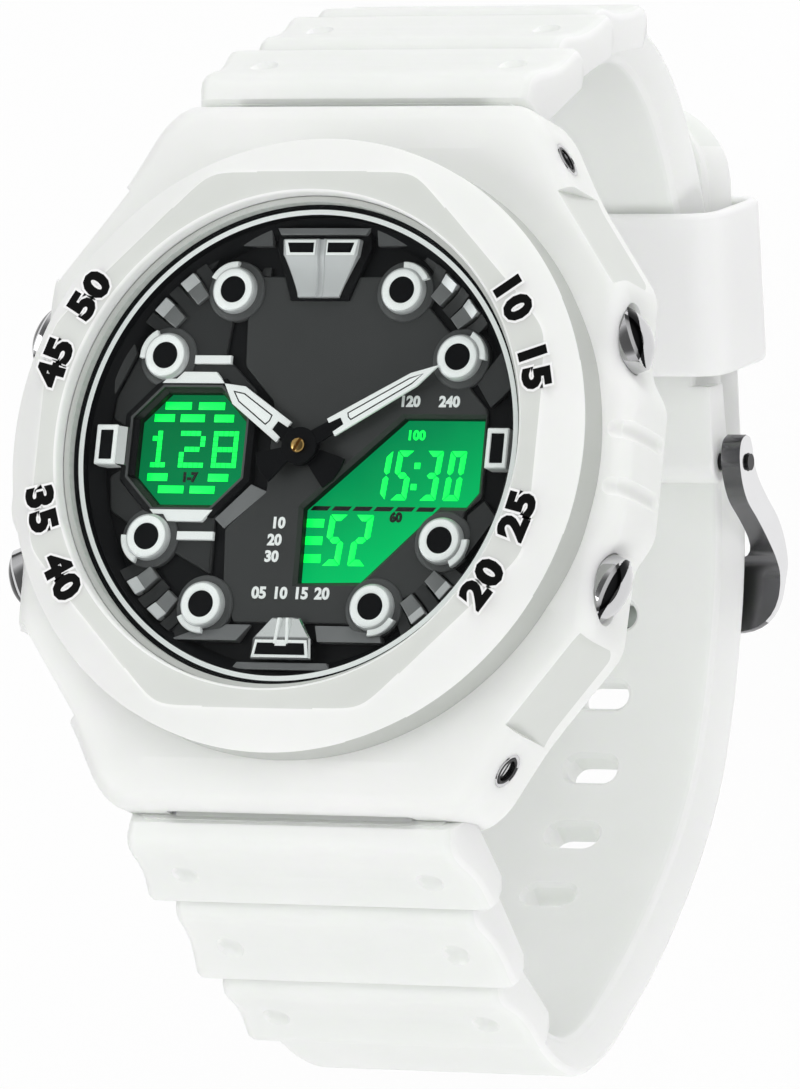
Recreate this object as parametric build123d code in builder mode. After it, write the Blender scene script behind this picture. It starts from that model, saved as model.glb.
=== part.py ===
from build123d import *
from math import cos, degrees, hypot, pi, radians, sin, tan
import os

os.makedirs("parts", exist_ok=True)

# Sizes are in millimetres and degrees.
# Z = 0 is the outside of the case back and +Z comes out of the dial.
# +Y points to 12 o'clock and +X to 3 o'clock.

# Case, from the wrist side upwards.
back_thickness = 1.1
back_radius = 18.6
back_chamfer = 0.4
case_radius = 19.2
case_top = 7.3
cavity_radius = 15.6
dial_seat_height = 7.6
collar_inner_radius = 16.9
collar_outer_radius = 18.35
collar_top = 10.6

# Bezel: a soft outer shell with an octagon on top.
shell_bottom = 0.6
shell_top = 7.5
shell_half_width = 22.9
shell_half_length = 24.4
bezel_fit = 0.05
shell_bore_radius = case_radius + bezel_fit
ring_radius = 21.05
ring_top = 11.9
octagon_apothem = 18.4
facet_angle = 40.0
lip_radius = 16.95
lip_underside = 10.7
ring_fit = 0.1
ring_bore_radius = collar_outer_radius + ring_fit
edge_chamfer = 0.35
hood_underside = 5.6
end_wall = 1.0
grip_spacing = 1.7
grip_width = 2.2
grip_height = 4.4
grip_depth = 0.5
# One quarter of the shell's outline as shares of its half width and length.
outline_shares = [
    (0.552, 1.0),
    (0.62, 0.943),
    (0.725, 0.77),
    (0.966, 0.504),
    (1.005, 0.27),
]

# Crystal, its gasket and the ring round the dial.
crystal_radius = 16.5
crystal_bottom = 10.0
crystal_thickness = 1.2
crystal_chamfer = 0.25
flange_inner_radius = 15.75
flange_radius = 16.85

# Dial.
dial_radius = 16.8
dial_thickness = 0.6
dial_top = dial_seat_height + dial_thickness
dial_hole_radius = 1.1
block_height = 0.3
frame_height = 0.5
frame_width = 1.0
window_center_x = -8.7
window_width = 7.9
window_height = 7.7
window_chamfer = 1.95
raised_block_reach = 14.6
raised_block_half_height = 8.6
raised_block_edge = -1.9
step_band_height = 0.2
step_band_bottom = 9.6
# Corners of the window for the time, as shares of the dial radius.
time_window_shares = [
    (0.012, -0.238),
    (0.417, 0.131),
    (0.765, 0.131),
    (0.768, -0.167),
    (0.72, -0.226),
    (0.607, -0.226),
    (0.292, -0.536),
    (0.018, -0.542),
]

# Applied markers on the dial.
peg_ring_radius = 12.5
peg_hours = [1, 2, 4, 5, 7, 8, 10, 11]
hour_angle = 30.0
peg_collar_radius = 1.7
peg_collar_height = 0.35
peg_radius = 1.35
peg_cup_radius = 0.78
peg_cup_depth = 0.35
marker_top = 9.3
marker_chamfer = 0.15
twelve_inner_y = 10.35
twelve_outer_y = 14.3
twelve_inner_width = 3.0
twelve_outer_width = 5.6
twelve_straight = 0.8
six_inner_y = 11.6
six_outer_y = 14.5
six_inner_width = 2.15
six_outer_width = 4.4
groove_width = 0.6
groove_depth = 0.4
side_marker_x = 14.4
side_marker_width = 1.5
side_marker_height = 2.25
inset_width = 1.0
inset_height = 1.57
inset_depth = 0.3
corner_block_radius = 14.5
corner_block_spread = 4.7
corner_block_width = 1.0
corner_block_length = 1.4
corner_block_height = 0.9
index_bar_x = -7.44
index_bar_y = 6.07
index_bar_length = 2.7
index_bar_width = 0.6
index_bar_height = 0.25

# Display.
lcd_radius = 15.0
lcd_bottom = 6.6
lcd_thickness = 0.9
light_radius = 12.6
light_bottom = 6.0
light_thickness = 0.5
strip_y = 13.2
strip_length = 10.0
strip_width = 0.9

# Hands and the small gear train behind them.
post_radius = 0.2
running_fit = 0.03
cannon_radius = 0.45
cannon_top = 9.75
pipe_wall = 0.3
pipe_top = 9.15
minute_length = 11.2
minute_tail = 3.0
minute_width = 1.35
minute_bottom = 9.42
hour_length = 7.6
hour_tail = 2.2
hour_width = 1.75
hour_bottom = 8.92
hand_thickness = 0.2
hub_radius = 1.25
hand_neck_share = 0.3
minute_hand_angle = 60.0
hour_hand_angle = 305.0
tooth_count = {"cannon": 12, "motion": 36, "pinion": 10, "hour": 40}
gear_spacing = 2.4
gear_bottom = 4.75
gear_thickness = 0.3
gear_gap = 0.15
addendum_share = 0.9
dedendum_share = 1.2
tooth_root_share = 0.62
tooth_tip_share = 0.3

# Module under the dial.
plate_radius = 14.8
plate_bottom = 4.2
plate_thickness = 0.4
board_radius = 14.6
board_bottom = 3.5
board_thickness = 0.55
battery_radius = 10.0
battery_thickness = 1.6
battery_rim = 0.35
battery_lid_share = 0.84
battery_x = 4.2
battery_bottom = 1.75
clip_width = 5.0
clip_thickness = 0.2
clip_length = 19.0
clip_leg_thickness = 0.4
coil_x = -9.6
coil_radius = 0.95
coil_length = 8.0
coil_core_radius = 0.4
coil_core_length = 11.0
stator_thickness = 0.3
stator_width = 2.6
can_radius = 0.95
can_length = 6.0
can_x = -12.6
buzzer_radius = 5.0
buzzer_x = -8.6
buzzer_thickness = 0.15
contact_radius = 0.4
contact_y = 4.2
contact_x = -6.7
spacer_wall = 0.6
spacer_notch = 4.0

# Pushers, two on each side of the case.
pusher_angle = 21.5
pusher_height = 4.3
pusher_travel = 0.8
pusher_shaft_radius = 0.6
pusher_tube_wall = 0.45
pusher_tube_inner = 16.0
pusher_tube_outer = 19.6
pusher_seat_depth = 0.9
pusher_rim_reach = 1.7
pusher_crown = 0.9
pusher_cap_seat = shell_half_width - pusher_seat_depth
pusher_cap_rim = shell_half_width + pusher_rim_reach
pusher_cap_top = pusher_cap_rim + pusher_crown
pusher_cap_length = 4.3
pusher_cap_height = 2.9
pusher_clearance = 0.15
clip_plate = 0.25
clip_radius = 1.3
clip_seat = 15.95
clip_margin = 0.08
spring_wire = 0.22
spring_coil_radius = 0.98
spring_turns = 4
ring_section = 0.22

# Fasteners.
back_screw_radius = 17.25
screw_head_radius = 0.95
screw_head_height = 0.6
screw_shank_radius = 0.5
screw_slot_width = 0.25
screw_slot_depth = 0.25
back_screw_length = 3.4
side_screw_share = 0.495
side_screw_height = 4.6
side_screw_grip = 0.775
side_screw_head_sink = 0.25
gasket_radius = 16.2
gasket_section = 0.4

# Lugs and spring bars.
lug_half_spacing = 9.3
lug_width = 2.9
lug_reach = 22.6
lug_root = 15.0
lug_bottom = 1.6
lug_height = 3.7
bar_y = 21.3
bar_z = 3.3
bar_radius = 0.75
bar_pin_radius = 0.4
bar_pin_length = 1.2
bar_end_gap = 0.25

# Strap: each half follows its outer face, seen from the side.
loop_reach = 37.2
loop_drop = 46.9
strap_start_y = 24.75
strap_start_z = 4.9
tongue_half_width = 8.8
barrel_radius = 1.6
strap_half_root = 12.0
strap_half_middle = 11.0
strap_half_end = 9.4
strap_root_level = 5.0
strap_middle_level = -12.0
strap_end_level = -33.0
soft_clearance = 0.3
# Points of the outer face of the 6 o'clock half: share of reach, share of
# drop, then thickness as a share of the thickest place.
six_half_shares = [
    (-0.712, 0.066, 1.0),
    (-0.766, -0.028, 0.95),
    (-0.834, -0.115, 0.86),
    (-0.896, -0.203, 0.8),
    (-0.954, -0.32, 0.74),
    (-0.992, -0.44, 0.68),
    (-0.984, -0.546, 0.64),
    (-0.919, -0.648, 0.62),
    (-0.806, -0.744, 0.6),
    (-0.672, -0.836, 0.6),
    (-0.511, -0.921, 0.58),
    (-0.349, -0.977, 0.58),
    (-0.188, -0.998, 0.58),
    (-0.013, -1.0, 0.58),
    (0.108, -0.989, 0.57),
    (0.188, -0.973, 0.56),
    (0.269, -0.951, 0.55),
    (0.38, -0.915, 0.54),
    (0.54, -0.87, 0.54),
    (0.7, -0.824, 0.54),
    (0.8, -0.8, 0.54),
    (0.96, -0.774, 0.5),
]
twelve_half_shares = [
    (0.712, 0.07, 1.0),
    (0.766, 0.0, 0.95),
    (0.86, -0.115, 0.84),
    (0.927, -0.23, 0.78),
    (0.965, -0.341, 0.7),
    (0.957, -0.437, 0.66),
    (0.911, -0.533, 0.62),
    (0.842, -0.613, 0.6),
    (0.762, -0.68, 0.6),
    (0.685, -0.729, 0.6),
    (0.54, -0.793, 0.6),
    (0.39, -0.84, 0.58),
]
strap_thickness = 4.2
strap_tip_radius = 7.0
# Three overlapping scales on each half near the case.
scale_ends = [0.0, 7.6, 15.6, 23.4]
scale_half_widths = [12.9, 12.3, 11.5]
scale_start_rise = 0.12
scale_end_rise = 0.65
scale_sink = 1.9
# Adjusting slots in the 6 o'clock half.
slot_length = 3.3
slot_width = 1.5
slot_pitch = 6.1
slots_before_prong = 5
slots_after_prong = 4
slot_depth = 6.0

# Buckle.
pin_shares = (0.2661, -0.8529)
pin_y = pin_shares[0] * loop_reach
pin_z = pin_shares[1] * loop_drop
buckle_pin_radius = 0.6
pin_barrel_radius = 1.55
buckle_half_width = 11.5
buckle_arm = 1.45
pin_overhang = 0.4
far_bar_inner_reach = 5.6
far_bar_outer_reach = 10.8
far_bar_inner_y = pin_y - far_bar_inner_reach
far_bar_outer_y = pin_y - far_bar_outer_reach
buckle_corner_radius = 3.4
buckle_inner_corner = 1.6
# Side of the buckle as distances from the pin, shares of its half width.
buckle_inner_shares = [
    (0.157, 0.07),
    (0.113, 0.13),
    (0.052, 0.148),
    (-0.035, 0.122),
    (-0.148, 0.026),
    (-0.217, -0.078),
    (-0.244, -0.226),
    (-0.313, -0.426),
    (-0.391, -0.6),
    (-0.496, -0.696),
    (-0.939, -0.67),
]
buckle_outer_shares = [
    (-0.939, -0.722),
    (-0.61, -0.765),
    (-0.496, -0.778),
    (-0.417, -0.748),
    (-0.313, -0.661),
    (-0.226, -0.539),
    (-0.148, -0.357),
    (-0.07, -0.2),
    (0.009, -0.104),
    (0.104, -0.043),
    (0.157, 0.009),
]
prong_width = 1.6
prong_thickness = 1.0
prong_eye_radius = 1.2
# Centre line of the prong from the pin, as shares of its reach.
prong_reach = 11.3
prong_shares = [
    (-0.09, -0.05),
    (-0.3, -0.125),
    (-0.434, -0.283),
    (-0.341, -0.593),
    (-0.416, -0.814),
    (-0.531, -0.851),
    (-1.0, -0.818),
]
prong_slot_share = -0.36

# Keeper.
keeper_shares = (0.5887, -0.7804)
keeper_rise_share = 0.3124
keeper_y = keeper_shares[0] * loop_reach
keeper_z = keeper_shares[1] * loop_drop
keeper_half_width = 11.4
keeper_wall = 0.9
keeper_length = 11.6
keeper_inner_height = 8.2
keeper_corner = 1.2
keeper_inner_corner = 0.6


def save(block, label):
    """Name a finished block and write it to its own file."""
    block.part.label = label
    export_step(block.part, "parts/" + label + ".step")
    print(label, round(block.part.volume, 3), len(block.part.solids()))


def side_plane(point, direction, drop=0.0):
    """A plane at a point of the side view, facing along a direction there."""
    return Plane(origin=(-drop, point[0], point[1]), x_dir=(1, 0, 0), z_dir=(0, direction[0], direction[1]))


def unit(start, end):
    """The direction from one side view point to another."""
    run = hypot(end[0] - start[0], end[1] - start[1])
    return (end[0] - start[0]) / run, (end[1] - start[1]) / run


def along(points, distance):
    """The point and direction a distance along a row of points."""
    left = distance
    for start, end in zip(points, points[1:]):
        run = hypot(end[0] - start[0], end[1] - start[1])
        if left <= run or end is points[-1]:
            way = unit(start, end)
            return (start[0] + way[0] * left, start[1] + way[1] * left), way
        left -= run


def outward(way, hand):
    """The direction off the strap's outer face, for a half on one hand."""
    return (-way[1] * hand, way[0] * hand)


def shifted(point, direction, distance):
    """A side view point moved along a direction."""
    return point[0] + direction[0] * distance, point[1] + direction[1] * distance


def inner_face(points, depths, hand):
    """The wrist side of a strap half, set in from its outer face."""
    result = []
    for number, point in enumerate(points):
        before = points[max(number - 1, 0)]
        after = points[min(number + 1, len(points) - 1)]
        result.append(shifted(point, outward(unit(before, after), hand), -depths[number]))
    return result


# Case middle: carries the module, the crystal and the four lugs.
gasket_outer = gasket_radius + gasket_section / 2
gasket_inner = gasket_radius - gasket_section / 2
tube_radius = pusher_shaft_radius + running_fit + pusher_tube_wall
with BuildPart() as case_middle:
    with BuildSketch(Plane.XZ):
        with BuildLine():
            Polyline(
                (cavity_radius, back_thickness),
                (case_radius, back_thickness),
                (case_radius, case_top),
                (collar_outer_radius, case_top),
                (collar_outer_radius, collar_top),
                (collar_inner_radius, collar_top),
                (collar_inner_radius, dial_seat_height),
                (cavity_radius, dial_seat_height),
                close=True,
            )
        make_face()
    revolve(axis=Axis.Z)
    lug_middle_x = lug_half_spacing + lug_width / 2
    for side_x in (1, -1):
        for side_y in (1, -1):
            with BuildSketch(Plane.XY.offset(lug_bottom)):
                with Locations((side_x * lug_middle_x, side_y * (lug_root + lug_reach) / 2)):
                    Rectangle(lug_width, lug_reach - lug_root)
            extrude(amount=lug_height)
    with BuildSketch(Plane.XY.offset(back_thickness)):
        Circle(cavity_radius)
    extrude(amount=dial_seat_height - back_thickness, mode=Mode.SUBTRACT)
    with BuildSketch(Plane.XY.offset(back_thickness)):
        Circle(gasket_outer)
        Circle(gasket_inner, mode=Mode.SUBTRACT)
    extrude(amount=gasket_section, mode=Mode.SUBTRACT)
    with BuildSketch(Plane.XY.offset(back_thickness)):
        with PolarLocations(back_screw_radius, 4, start_angle=45):
            Circle(screw_shank_radius)
    extrude(amount=back_screw_length, mode=Mode.SUBTRACT)
    for side_y in (1, -1):
        with BuildSketch(Plane.YZ.offset(-(lug_half_spacing + bar_pin_length + bar_end_gap))):
            with Locations((side_y * bar_y, bar_z)):
                Circle(bar_pin_radius + running_fit)
        extrude(amount=2 * (lug_half_spacing + bar_pin_length + bar_end_gap), mode=Mode.SUBTRACT)
    for side_x in (1, -1):
        for side_y in (1, -1):
            bore_axis = Plane(
                origin=(0, 0, pusher_height),
                x_dir=(0, 0, 1),
                z_dir=(side_x * cos(radians(pusher_angle)), side_y * sin(radians(pusher_angle)), 0),
            )
            with BuildSketch(bore_axis.offset(lug_root)):
                Circle(tube_radius)
            extrude(amount=pusher_tube_outer - lug_root, mode=Mode.SUBTRACT)
            with BuildSketch(bore_axis.offset(lug_root)):
                Circle(clip_radius + clip_margin)
            extrude(amount=pusher_tube_inner - lug_root, mode=Mode.SUBTRACT)


def quarter_outline():
    """The shell's outline all the way round, from one quarter's shares."""
    first = [(sx * shell_half_width, sy * shell_half_length) for sx, sy in outline_shares]
    lower = [(x, -y) for x, y in reversed(first)]
    right = first + lower
    left = [(-x, y) for x, y in reversed(right)]
    return right + left


# The side screws stand square to the shell's slanted sides by the lugs.
screw_face_start = (
    outline_shares[1][0] * shell_half_width,
    outline_shares[1][1] * shell_half_length,
)
screw_face_end = (
    outline_shares[2][0] * shell_half_width,
    outline_shares[2][1] * shell_half_length,
)
screw_face_way = unit(screw_face_start, screw_face_end)
screw_out = (-screw_face_way[1], screw_face_way[0])
side_screw_x = screw_face_start[0] + side_screw_share * (screw_face_end[0] - screw_face_start[0])
side_screw_y = screw_face_start[1] + side_screw_share * (screw_face_end[1] - screw_face_start[1])
lug_outer_x = lug_half_spacing + lug_width
side_screw_length = (side_screw_x - lug_outer_x) / screw_out[0] + side_screw_grip


def screw_plane(side_x, side_y, depth):
    """A plane square to a side screw, a depth inside the shell's side."""
    way_x, way_y = screw_out[0] * side_x, screw_out[1] * side_y
    return Plane(
        origin=(
            side_x * side_screw_x - way_x * depth,
            side_y * side_screw_y - way_y * depth,
            side_screw_height,
        ),
        x_dir=(0, 0, 1),
        z_dir=(way_x, way_y, 0),
    )


def pusher_plane(side_x, side_y, distance):
    """A plane square to a pusher, its X axis upwards."""
    way_x = side_x * cos(radians(pusher_angle))
    way_y = side_y * sin(radians(pusher_angle))
    return Plane(
        origin=(way_x * distance, way_y * distance, pusher_height),
        x_dir=(0, 0, 1),
        z_dir=(way_x, way_y, 0),
    )


corners = [(1, 1), (1, -1), (-1, -1), (-1, 1)]

# The lugs are tapped for the side screws after the shell's side is known.
with BuildPart() as tapped_case:
    add(case_middle.part)
    for side_x, side_y in corners:
        with BuildSketch(screw_plane(side_x, side_y, side_screw_length)):
            Circle(screw_shank_radius)
        extrude(amount=side_screw_length, mode=Mode.SUBTRACT)
save(tapped_case, "case_middle")

facet_base_apothem = octagon_apothem + (ring_top - shell_top) / tan(radians(facet_angle))
octagon_turn = 22.5
with BuildPart() as facet_cap:
    with BuildSketch(Plane.XY.offset(shell_top)):
        RegularPolygon(facet_base_apothem, 8, major_radius=False, rotation=octagon_turn)
    with BuildSketch(Plane.XY.offset(ring_top)):
        RegularPolygon(octagon_apothem, 8, major_radius=False, rotation=octagon_turn)
    loft()
    with BuildSketch(Plane.XY.offset(shell_top)):
        Circle(ring_radius)
    extrude(amount=ring_top - shell_top, mode=Mode.INTERSECT)

with BuildPart() as bezel:
    with BuildSketch(Plane.XY.offset(shell_bottom)):
        with BuildLine():
            Polyline(*quarter_outline(), close=True)
        make_face()
    extrude(amount=shell_top - shell_bottom)
    chamfer(bezel.faces().sort_by(Axis.Z)[-1].edges(), length=edge_chamfer)
    add(facet_cap.part)
    with BuildSketch(Plane.XY):
        Circle(shell_bore_radius)
    extrude(amount=case_top + running_fit, mode=Mode.SUBTRACT)
    with BuildSketch(Plane.XY.offset(case_top)):
        Circle(ring_bore_radius)
    extrude(amount=lip_underside - case_top, mode=Mode.SUBTRACT)
    with BuildSketch(Plane.XY.offset(lip_underside)):
        Circle(lip_radius)
    extrude(amount=ring_top - lip_underside, mode=Mode.SUBTRACT)
    pocket_length = shell_half_length - end_wall - lug_root
    for side_y in (1, -1):
        with BuildSketch(Plane.XY):
            with Locations((0, side_y * (lug_root + pocket_length / 2))):
                Rectangle(2 * (lug_outer_x + soft_clearance / 2), pocket_length)
        extrude(amount=hood_underside, mode=Mode.SUBTRACT)
        with BuildSketch(Plane.XY):
            with Locations((0, side_y * shell_half_length)):
                Rectangle(2 * (tongue_half_width + soft_clearance), 2 * (end_wall + soft_clearance))
        extrude(amount=hood_underside, mode=Mode.SUBTRACT)
    for side_x in (1, -1):
        grip_plane = Plane(
            origin=(side_x * (shell_half_width - grip_depth), 0, (shell_bottom + shell_top) / 2),
            x_dir=(0, 1, 0),
            z_dir=(side_x, 0, 0),
        )
        with BuildSketch(grip_plane):
            with Locations((grip_spacing, 0), (-grip_spacing, 0)):
                SlotOverall(grip_height, grip_width, rotation=90)
        extrude(amount=2 * grip_depth, mode=Mode.SUBTRACT)
    for side_x, side_y in corners:
        with BuildSketch(screw_plane(side_x, side_y, side_screw_head_sink + screw_head_height)):
            Circle(screw_head_radius + running_fit)
        extrude(amount=2 * screw_head_height, mode=Mode.SUBTRACT)
        with BuildSketch(screw_plane(side_x, side_y, side_screw_length)):
            Circle(screw_shank_radius)
        extrude(amount=side_screw_length, mode=Mode.SUBTRACT)
        with BuildSketch(pusher_plane(side_x, side_y, shell_bore_radius - end_wall)):
            SlotOverall(
                pusher_cap_length + 2 * pusher_clearance,
                pusher_cap_height + 2 * pusher_clearance,
                rotation=90,
            )
        extrude(amount=pusher_cap_top - shell_bore_radius + end_wall, mode=Mode.SUBTRACT)
save(bezel, "bezel")

# Crystal stack.
with BuildPart() as crystal:
    with BuildSketch(Plane.XY.offset(crystal_bottom)):
        Circle(crystal_radius)
    extrude(amount=crystal_thickness)
    chamfer(crystal.faces().sort_by(Axis.Z)[-1].edges(), length=crystal_chamfer)
save(crystal, "crystal")

with BuildPart() as crystal_gasket:
    with BuildSketch(Plane.XY.offset(crystal_bottom)):
        Circle(collar_inner_radius)
        Circle(crystal_radius, mode=Mode.SUBTRACT)
    extrude(amount=lip_underside - crystal_bottom)
save(crystal_gasket, "crystal_gasket")

with BuildPart() as dial_flange:
    with BuildSketch(Plane.XY.offset(dial_top)):
        Circle(flange_radius)
        Circle(flange_inner_radius, mode=Mode.SUBTRACT)
    extrude(amount=crystal_bottom - dial_top)
    inner_top_edge = dial_flange.edges().filter_by(GeomType.CIRCLE).group_by(Axis.Z)[-1]
    chamfer(inner_top_edge.sort_by(SortBy.RADIUS)[0], length=crystal_chamfer)
save(dial_flange, "dial_flange")

# Dial plate with its raised left block, window frame and cut-outs.


def window_outline(grow):
    """The octagon window's corners, grown all round."""
    half_x = window_width / 2 + grow
    half_y = window_height / 2 + grow
    cut = window_chamfer + grow * (2 - 2 ** 0.5)
    points = [
        (half_x, half_y - cut),
        (half_x - cut, half_y),
        (cut - half_x, half_y),
        (-half_x, half_y - cut),
    ]
    lower = [(x, -y) for x, y in reversed(points)]
    return [(x + window_center_x, y) for x, y in points + lower]


time_window = [(sx * dial_radius, sy * dial_radius) for sx, sy in time_window_shares]
with BuildPart() as dial_plate:
    with BuildSketch(Plane.XY.offset(dial_seat_height)):
        Circle(dial_radius)
    extrude(amount=dial_thickness)
    with BuildSketch(Plane.XY.offset(dial_top)):
        with BuildLine():
            Polyline(
                (-raised_block_reach * cos(radians(hour_angle)), raised_block_half_height),
                (raised_block_edge - frame_width - window_chamfer, raised_block_half_height),
                (raised_block_edge, window_height / 2 + frame_width),
                (raised_block_edge, -window_height / 2 - frame_width),
                (raised_block_edge - frame_width - window_chamfer, -raised_block_half_height),
                (-raised_block_reach * cos(radians(hour_angle)), -raised_block_half_height),
                close=True,
            )
        make_face()
        Circle(raised_block_reach, mode=Mode.INTERSECT)
    extrude(amount=block_height)
    with BuildSketch(Plane.XY.offset(dial_top)):
        with BuildLine():
            Polyline(*window_outline(frame_width), close=True)
        make_face()
        Circle(raised_block_reach, mode=Mode.INTERSECT)
    extrude(amount=frame_height)
    with BuildSketch(Plane.XY.offset(dial_top)):
        Circle(flange_inner_radius - running_fit)
        with Locations((0, step_band_bottom - dial_radius)):
            Rectangle(2 * dial_radius, 2 * dial_radius, mode=Mode.SUBTRACT)
    extrude(amount=step_band_height)
    with BuildSketch(Plane.XY.offset(dial_top)):
        for hour in peg_hours:
            with PolarLocations(peg_ring_radius, 1, start_angle=90 - hour * hour_angle):
                Circle(peg_collar_radius + running_fit)
    extrude(amount=frame_height, mode=Mode.SUBTRACT)
    with BuildSketch(Plane.XY.offset(dial_seat_height)):
        with BuildLine():
            Polyline(*window_outline(0), close=True)
        make_face()
    extrude(amount=dial_thickness + frame_height, mode=Mode.SUBTRACT)
    with BuildSketch(Plane.XY.offset(dial_seat_height)):
        with BuildLine():
            Polyline(*time_window, close=True)
        make_face()
    extrude(amount=dial_thickness + frame_height, mode=Mode.SUBTRACT)
    with BuildSketch(Plane.XY.offset(dial_seat_height)):
        Circle(dial_hole_radius)
    extrude(amount=dial_thickness + frame_height, mode=Mode.SUBTRACT)
    marker_room = [
        (0, (twelve_inner_y + twelve_outer_y) / 2, twelve_outer_width, twelve_outer_y - twelve_inner_y),
        (side_marker_x, 0, side_marker_width, side_marker_height),
        (-side_marker_x, 0, side_marker_width, side_marker_height),
    ]
    with BuildSketch(Plane.XY.offset(dial_top)):
        for room_x, room_y, room_width, room_height in marker_room:
            with Locations((room_x, room_y)):
                Rectangle(room_width, room_height)
    extrude(amount=frame_height, mode=Mode.SUBTRACT)
    with BuildSketch(Plane.XY.offset(dial_top)):
        for turn in (45, 135, 225, 315):
            with PolarLocations(corner_block_radius, 2, start_angle=turn - corner_block_spread,
                                angular_range=2 * corner_block_spread, endpoint=True):
                Rectangle(corner_block_length + running_fit, corner_block_width + running_fit)
    extrude(amount=frame_height, mode=Mode.SUBTRACT)
save(dial_plate, "dial_plate")

# Applied markers, each standing on the dial.
with BuildPart() as index_pegs:
    with BuildSketch(Plane.XY.offset(dial_top)):
        for hour in peg_hours:
            with PolarLocations(peg_ring_radius, 1, start_angle=90 - hour * hour_angle):
                Circle(peg_collar_radius)
    extrude(amount=peg_collar_height)
    with BuildSketch(Plane.XY.offset(dial_top)):
        for hour in peg_hours:
            with PolarLocations(peg_ring_radius, 1, start_angle=90 - hour * hour_angle):
                Circle(peg_radius)
    extrude(amount=marker_top - dial_top)
    chamfer(index_pegs.faces().sort_by(Axis.Z)[-len(peg_hours):].edges(), length=marker_chamfer)
    with BuildSketch(Plane.XY.offset(marker_top)):
        for hour in peg_hours:
            with PolarLocations(peg_ring_radius, 1, start_angle=90 - hour * hour_angle):
                Circle(peg_cup_radius)
    extrude(amount=-peg_cup_depth, mode=Mode.SUBTRACT)
save(index_pegs, "index_pegs")


def wedge_points(inner_y, outer_y, inner_width, outer_width, straight):
    """The outline of a marker that widens outwards."""
    right = [
        (inner_width / 2, inner_y),
        (outer_width / 2, outer_y - straight),
        (outer_width / 2, outer_y),
    ]
    return right + [(-x, y) for x, y in reversed(right)]


with BuildPart() as marker_12:
    with BuildSketch(Plane.XY.offset(dial_top)):
        with BuildLine():
            Polyline(
                *wedge_points(
                    twelve_inner_y, twelve_outer_y, twelve_inner_width, twelve_outer_width, twelve_straight
                ),
                close=True,
            )
        make_face()
    extrude(amount=marker_top - dial_top)
    chamfer(marker_12.faces().sort_by(Axis.Z)[-1].edges(), length=marker_chamfer)
    with BuildSketch(Plane.XY.offset(marker_top)):
        with Locations((0, (twelve_inner_y + twelve_outer_y) / 2)):
            Rectangle(groove_width, twelve_outer_y - twelve_inner_y)
    extrude(amount=-groove_depth, mode=Mode.SUBTRACT)
save(marker_12, "marker_12")

with BuildPart() as marker_6:
    with BuildSketch(Plane.XY.offset(dial_top)):
        with BuildLine():
            Polyline(
                *wedge_points(-six_inner_y, -six_outer_y, six_inner_width, six_outer_width, -twelve_straight),
                close=True,
            )
        make_face()
    extrude(amount=marker_top - dial_top)
    chamfer(marker_6.faces().sort_by(Axis.Z)[-1].edges(), length=marker_chamfer)
    with BuildSketch(Plane.XY.offset(marker_top)):
        with Locations((0, -(six_inner_y + six_outer_y) / 2)):
            Rectangle(groove_width, six_outer_y - six_inner_y)
    extrude(amount=-groove_depth, mode=Mode.SUBTRACT)
save(marker_6, "marker_6")

with BuildPart() as markers_3_9:
    with BuildSketch(Plane.XY.offset(dial_top)):
        with Locations((side_marker_x, 0), (-side_marker_x, 0)):
            Rectangle(side_marker_width, side_marker_height)
    extrude(amount=marker_top - dial_top)
    chamfer(markers_3_9.faces().sort_by(Axis.Z)[-2:].edges(), length=marker_chamfer)
    with BuildSketch(Plane.XY.offset(marker_top)):
        with Locations((side_marker_x, 0), (-side_marker_x, 0)):
            Rectangle(inset_width, inset_height)
    extrude(amount=-inset_depth, mode=Mode.SUBTRACT)
save(markers_3_9, "markers_3_9")

with BuildPart() as corner_blocks:
    with BuildSketch(Plane.XY.offset(dial_top)):
        for turn in (45, 135, 225, 315):
            with PolarLocations(corner_block_radius, 2, start_angle=turn - corner_block_spread,
                                angular_range=2 * corner_block_spread, endpoint=True):
                Rectangle(corner_block_length, corner_block_width)
    extrude(amount=corner_block_height)
    chamfer(corner_blocks.faces().sort_by(Axis.Z)[-8:].edges(), length=marker_chamfer)
save(corner_blocks, "corner_blocks")

with BuildPart() as index_bars:
    with BuildSketch(Plane.XY.offset(dial_top + block_height)):
        with Locations((index_bar_x, index_bar_y), (index_bar_x, -index_bar_y)):
            Rectangle(index_bar_length, index_bar_width)
    extrude(amount=index_bar_height)
save(index_bars, "index_bars")

# Display stack with a hole in the middle for the hands.
with BuildPart() as lcd_panel:
    with BuildSketch(Plane.XY.offset(lcd_bottom)):
        Circle(lcd_radius)
        Circle(dial_hole_radius, mode=Mode.SUBTRACT)
    extrude(amount=lcd_thickness)
save(lcd_panel, "lcd_panel")

with BuildPart() as backlight_panel:
    with BuildSketch(Plane.XY.offset(light_bottom)):
        Circle(light_radius)
        Circle(dial_hole_radius, mode=Mode.SUBTRACT)
    extrude(amount=light_thickness)
save(backlight_panel, "backlight_panel")


def gear_points(teeth, pitch_radius, middle_x=0.0, tooth_shift=0.0):
    """The corners of a toothed disc, turned by a share of a tooth."""
    module = 2 * pitch_radius / teeth
    root = pitch_radius - dedendum_share * module
    tip = pitch_radius + addendum_share * module
    points = []
    for tooth in range(teeth):
        for radius, offset in (
            (root, -tooth_root_share),
            (tip, -tooth_tip_share),
            (tip, tooth_tip_share),
            (root, tooth_root_share),
        ):
            angle = 2 * pi / teeth * (tooth + tooth_shift + offset / 2)
            points.append((middle_x + radius * cos(angle), radius * sin(angle)))
    return points


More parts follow.
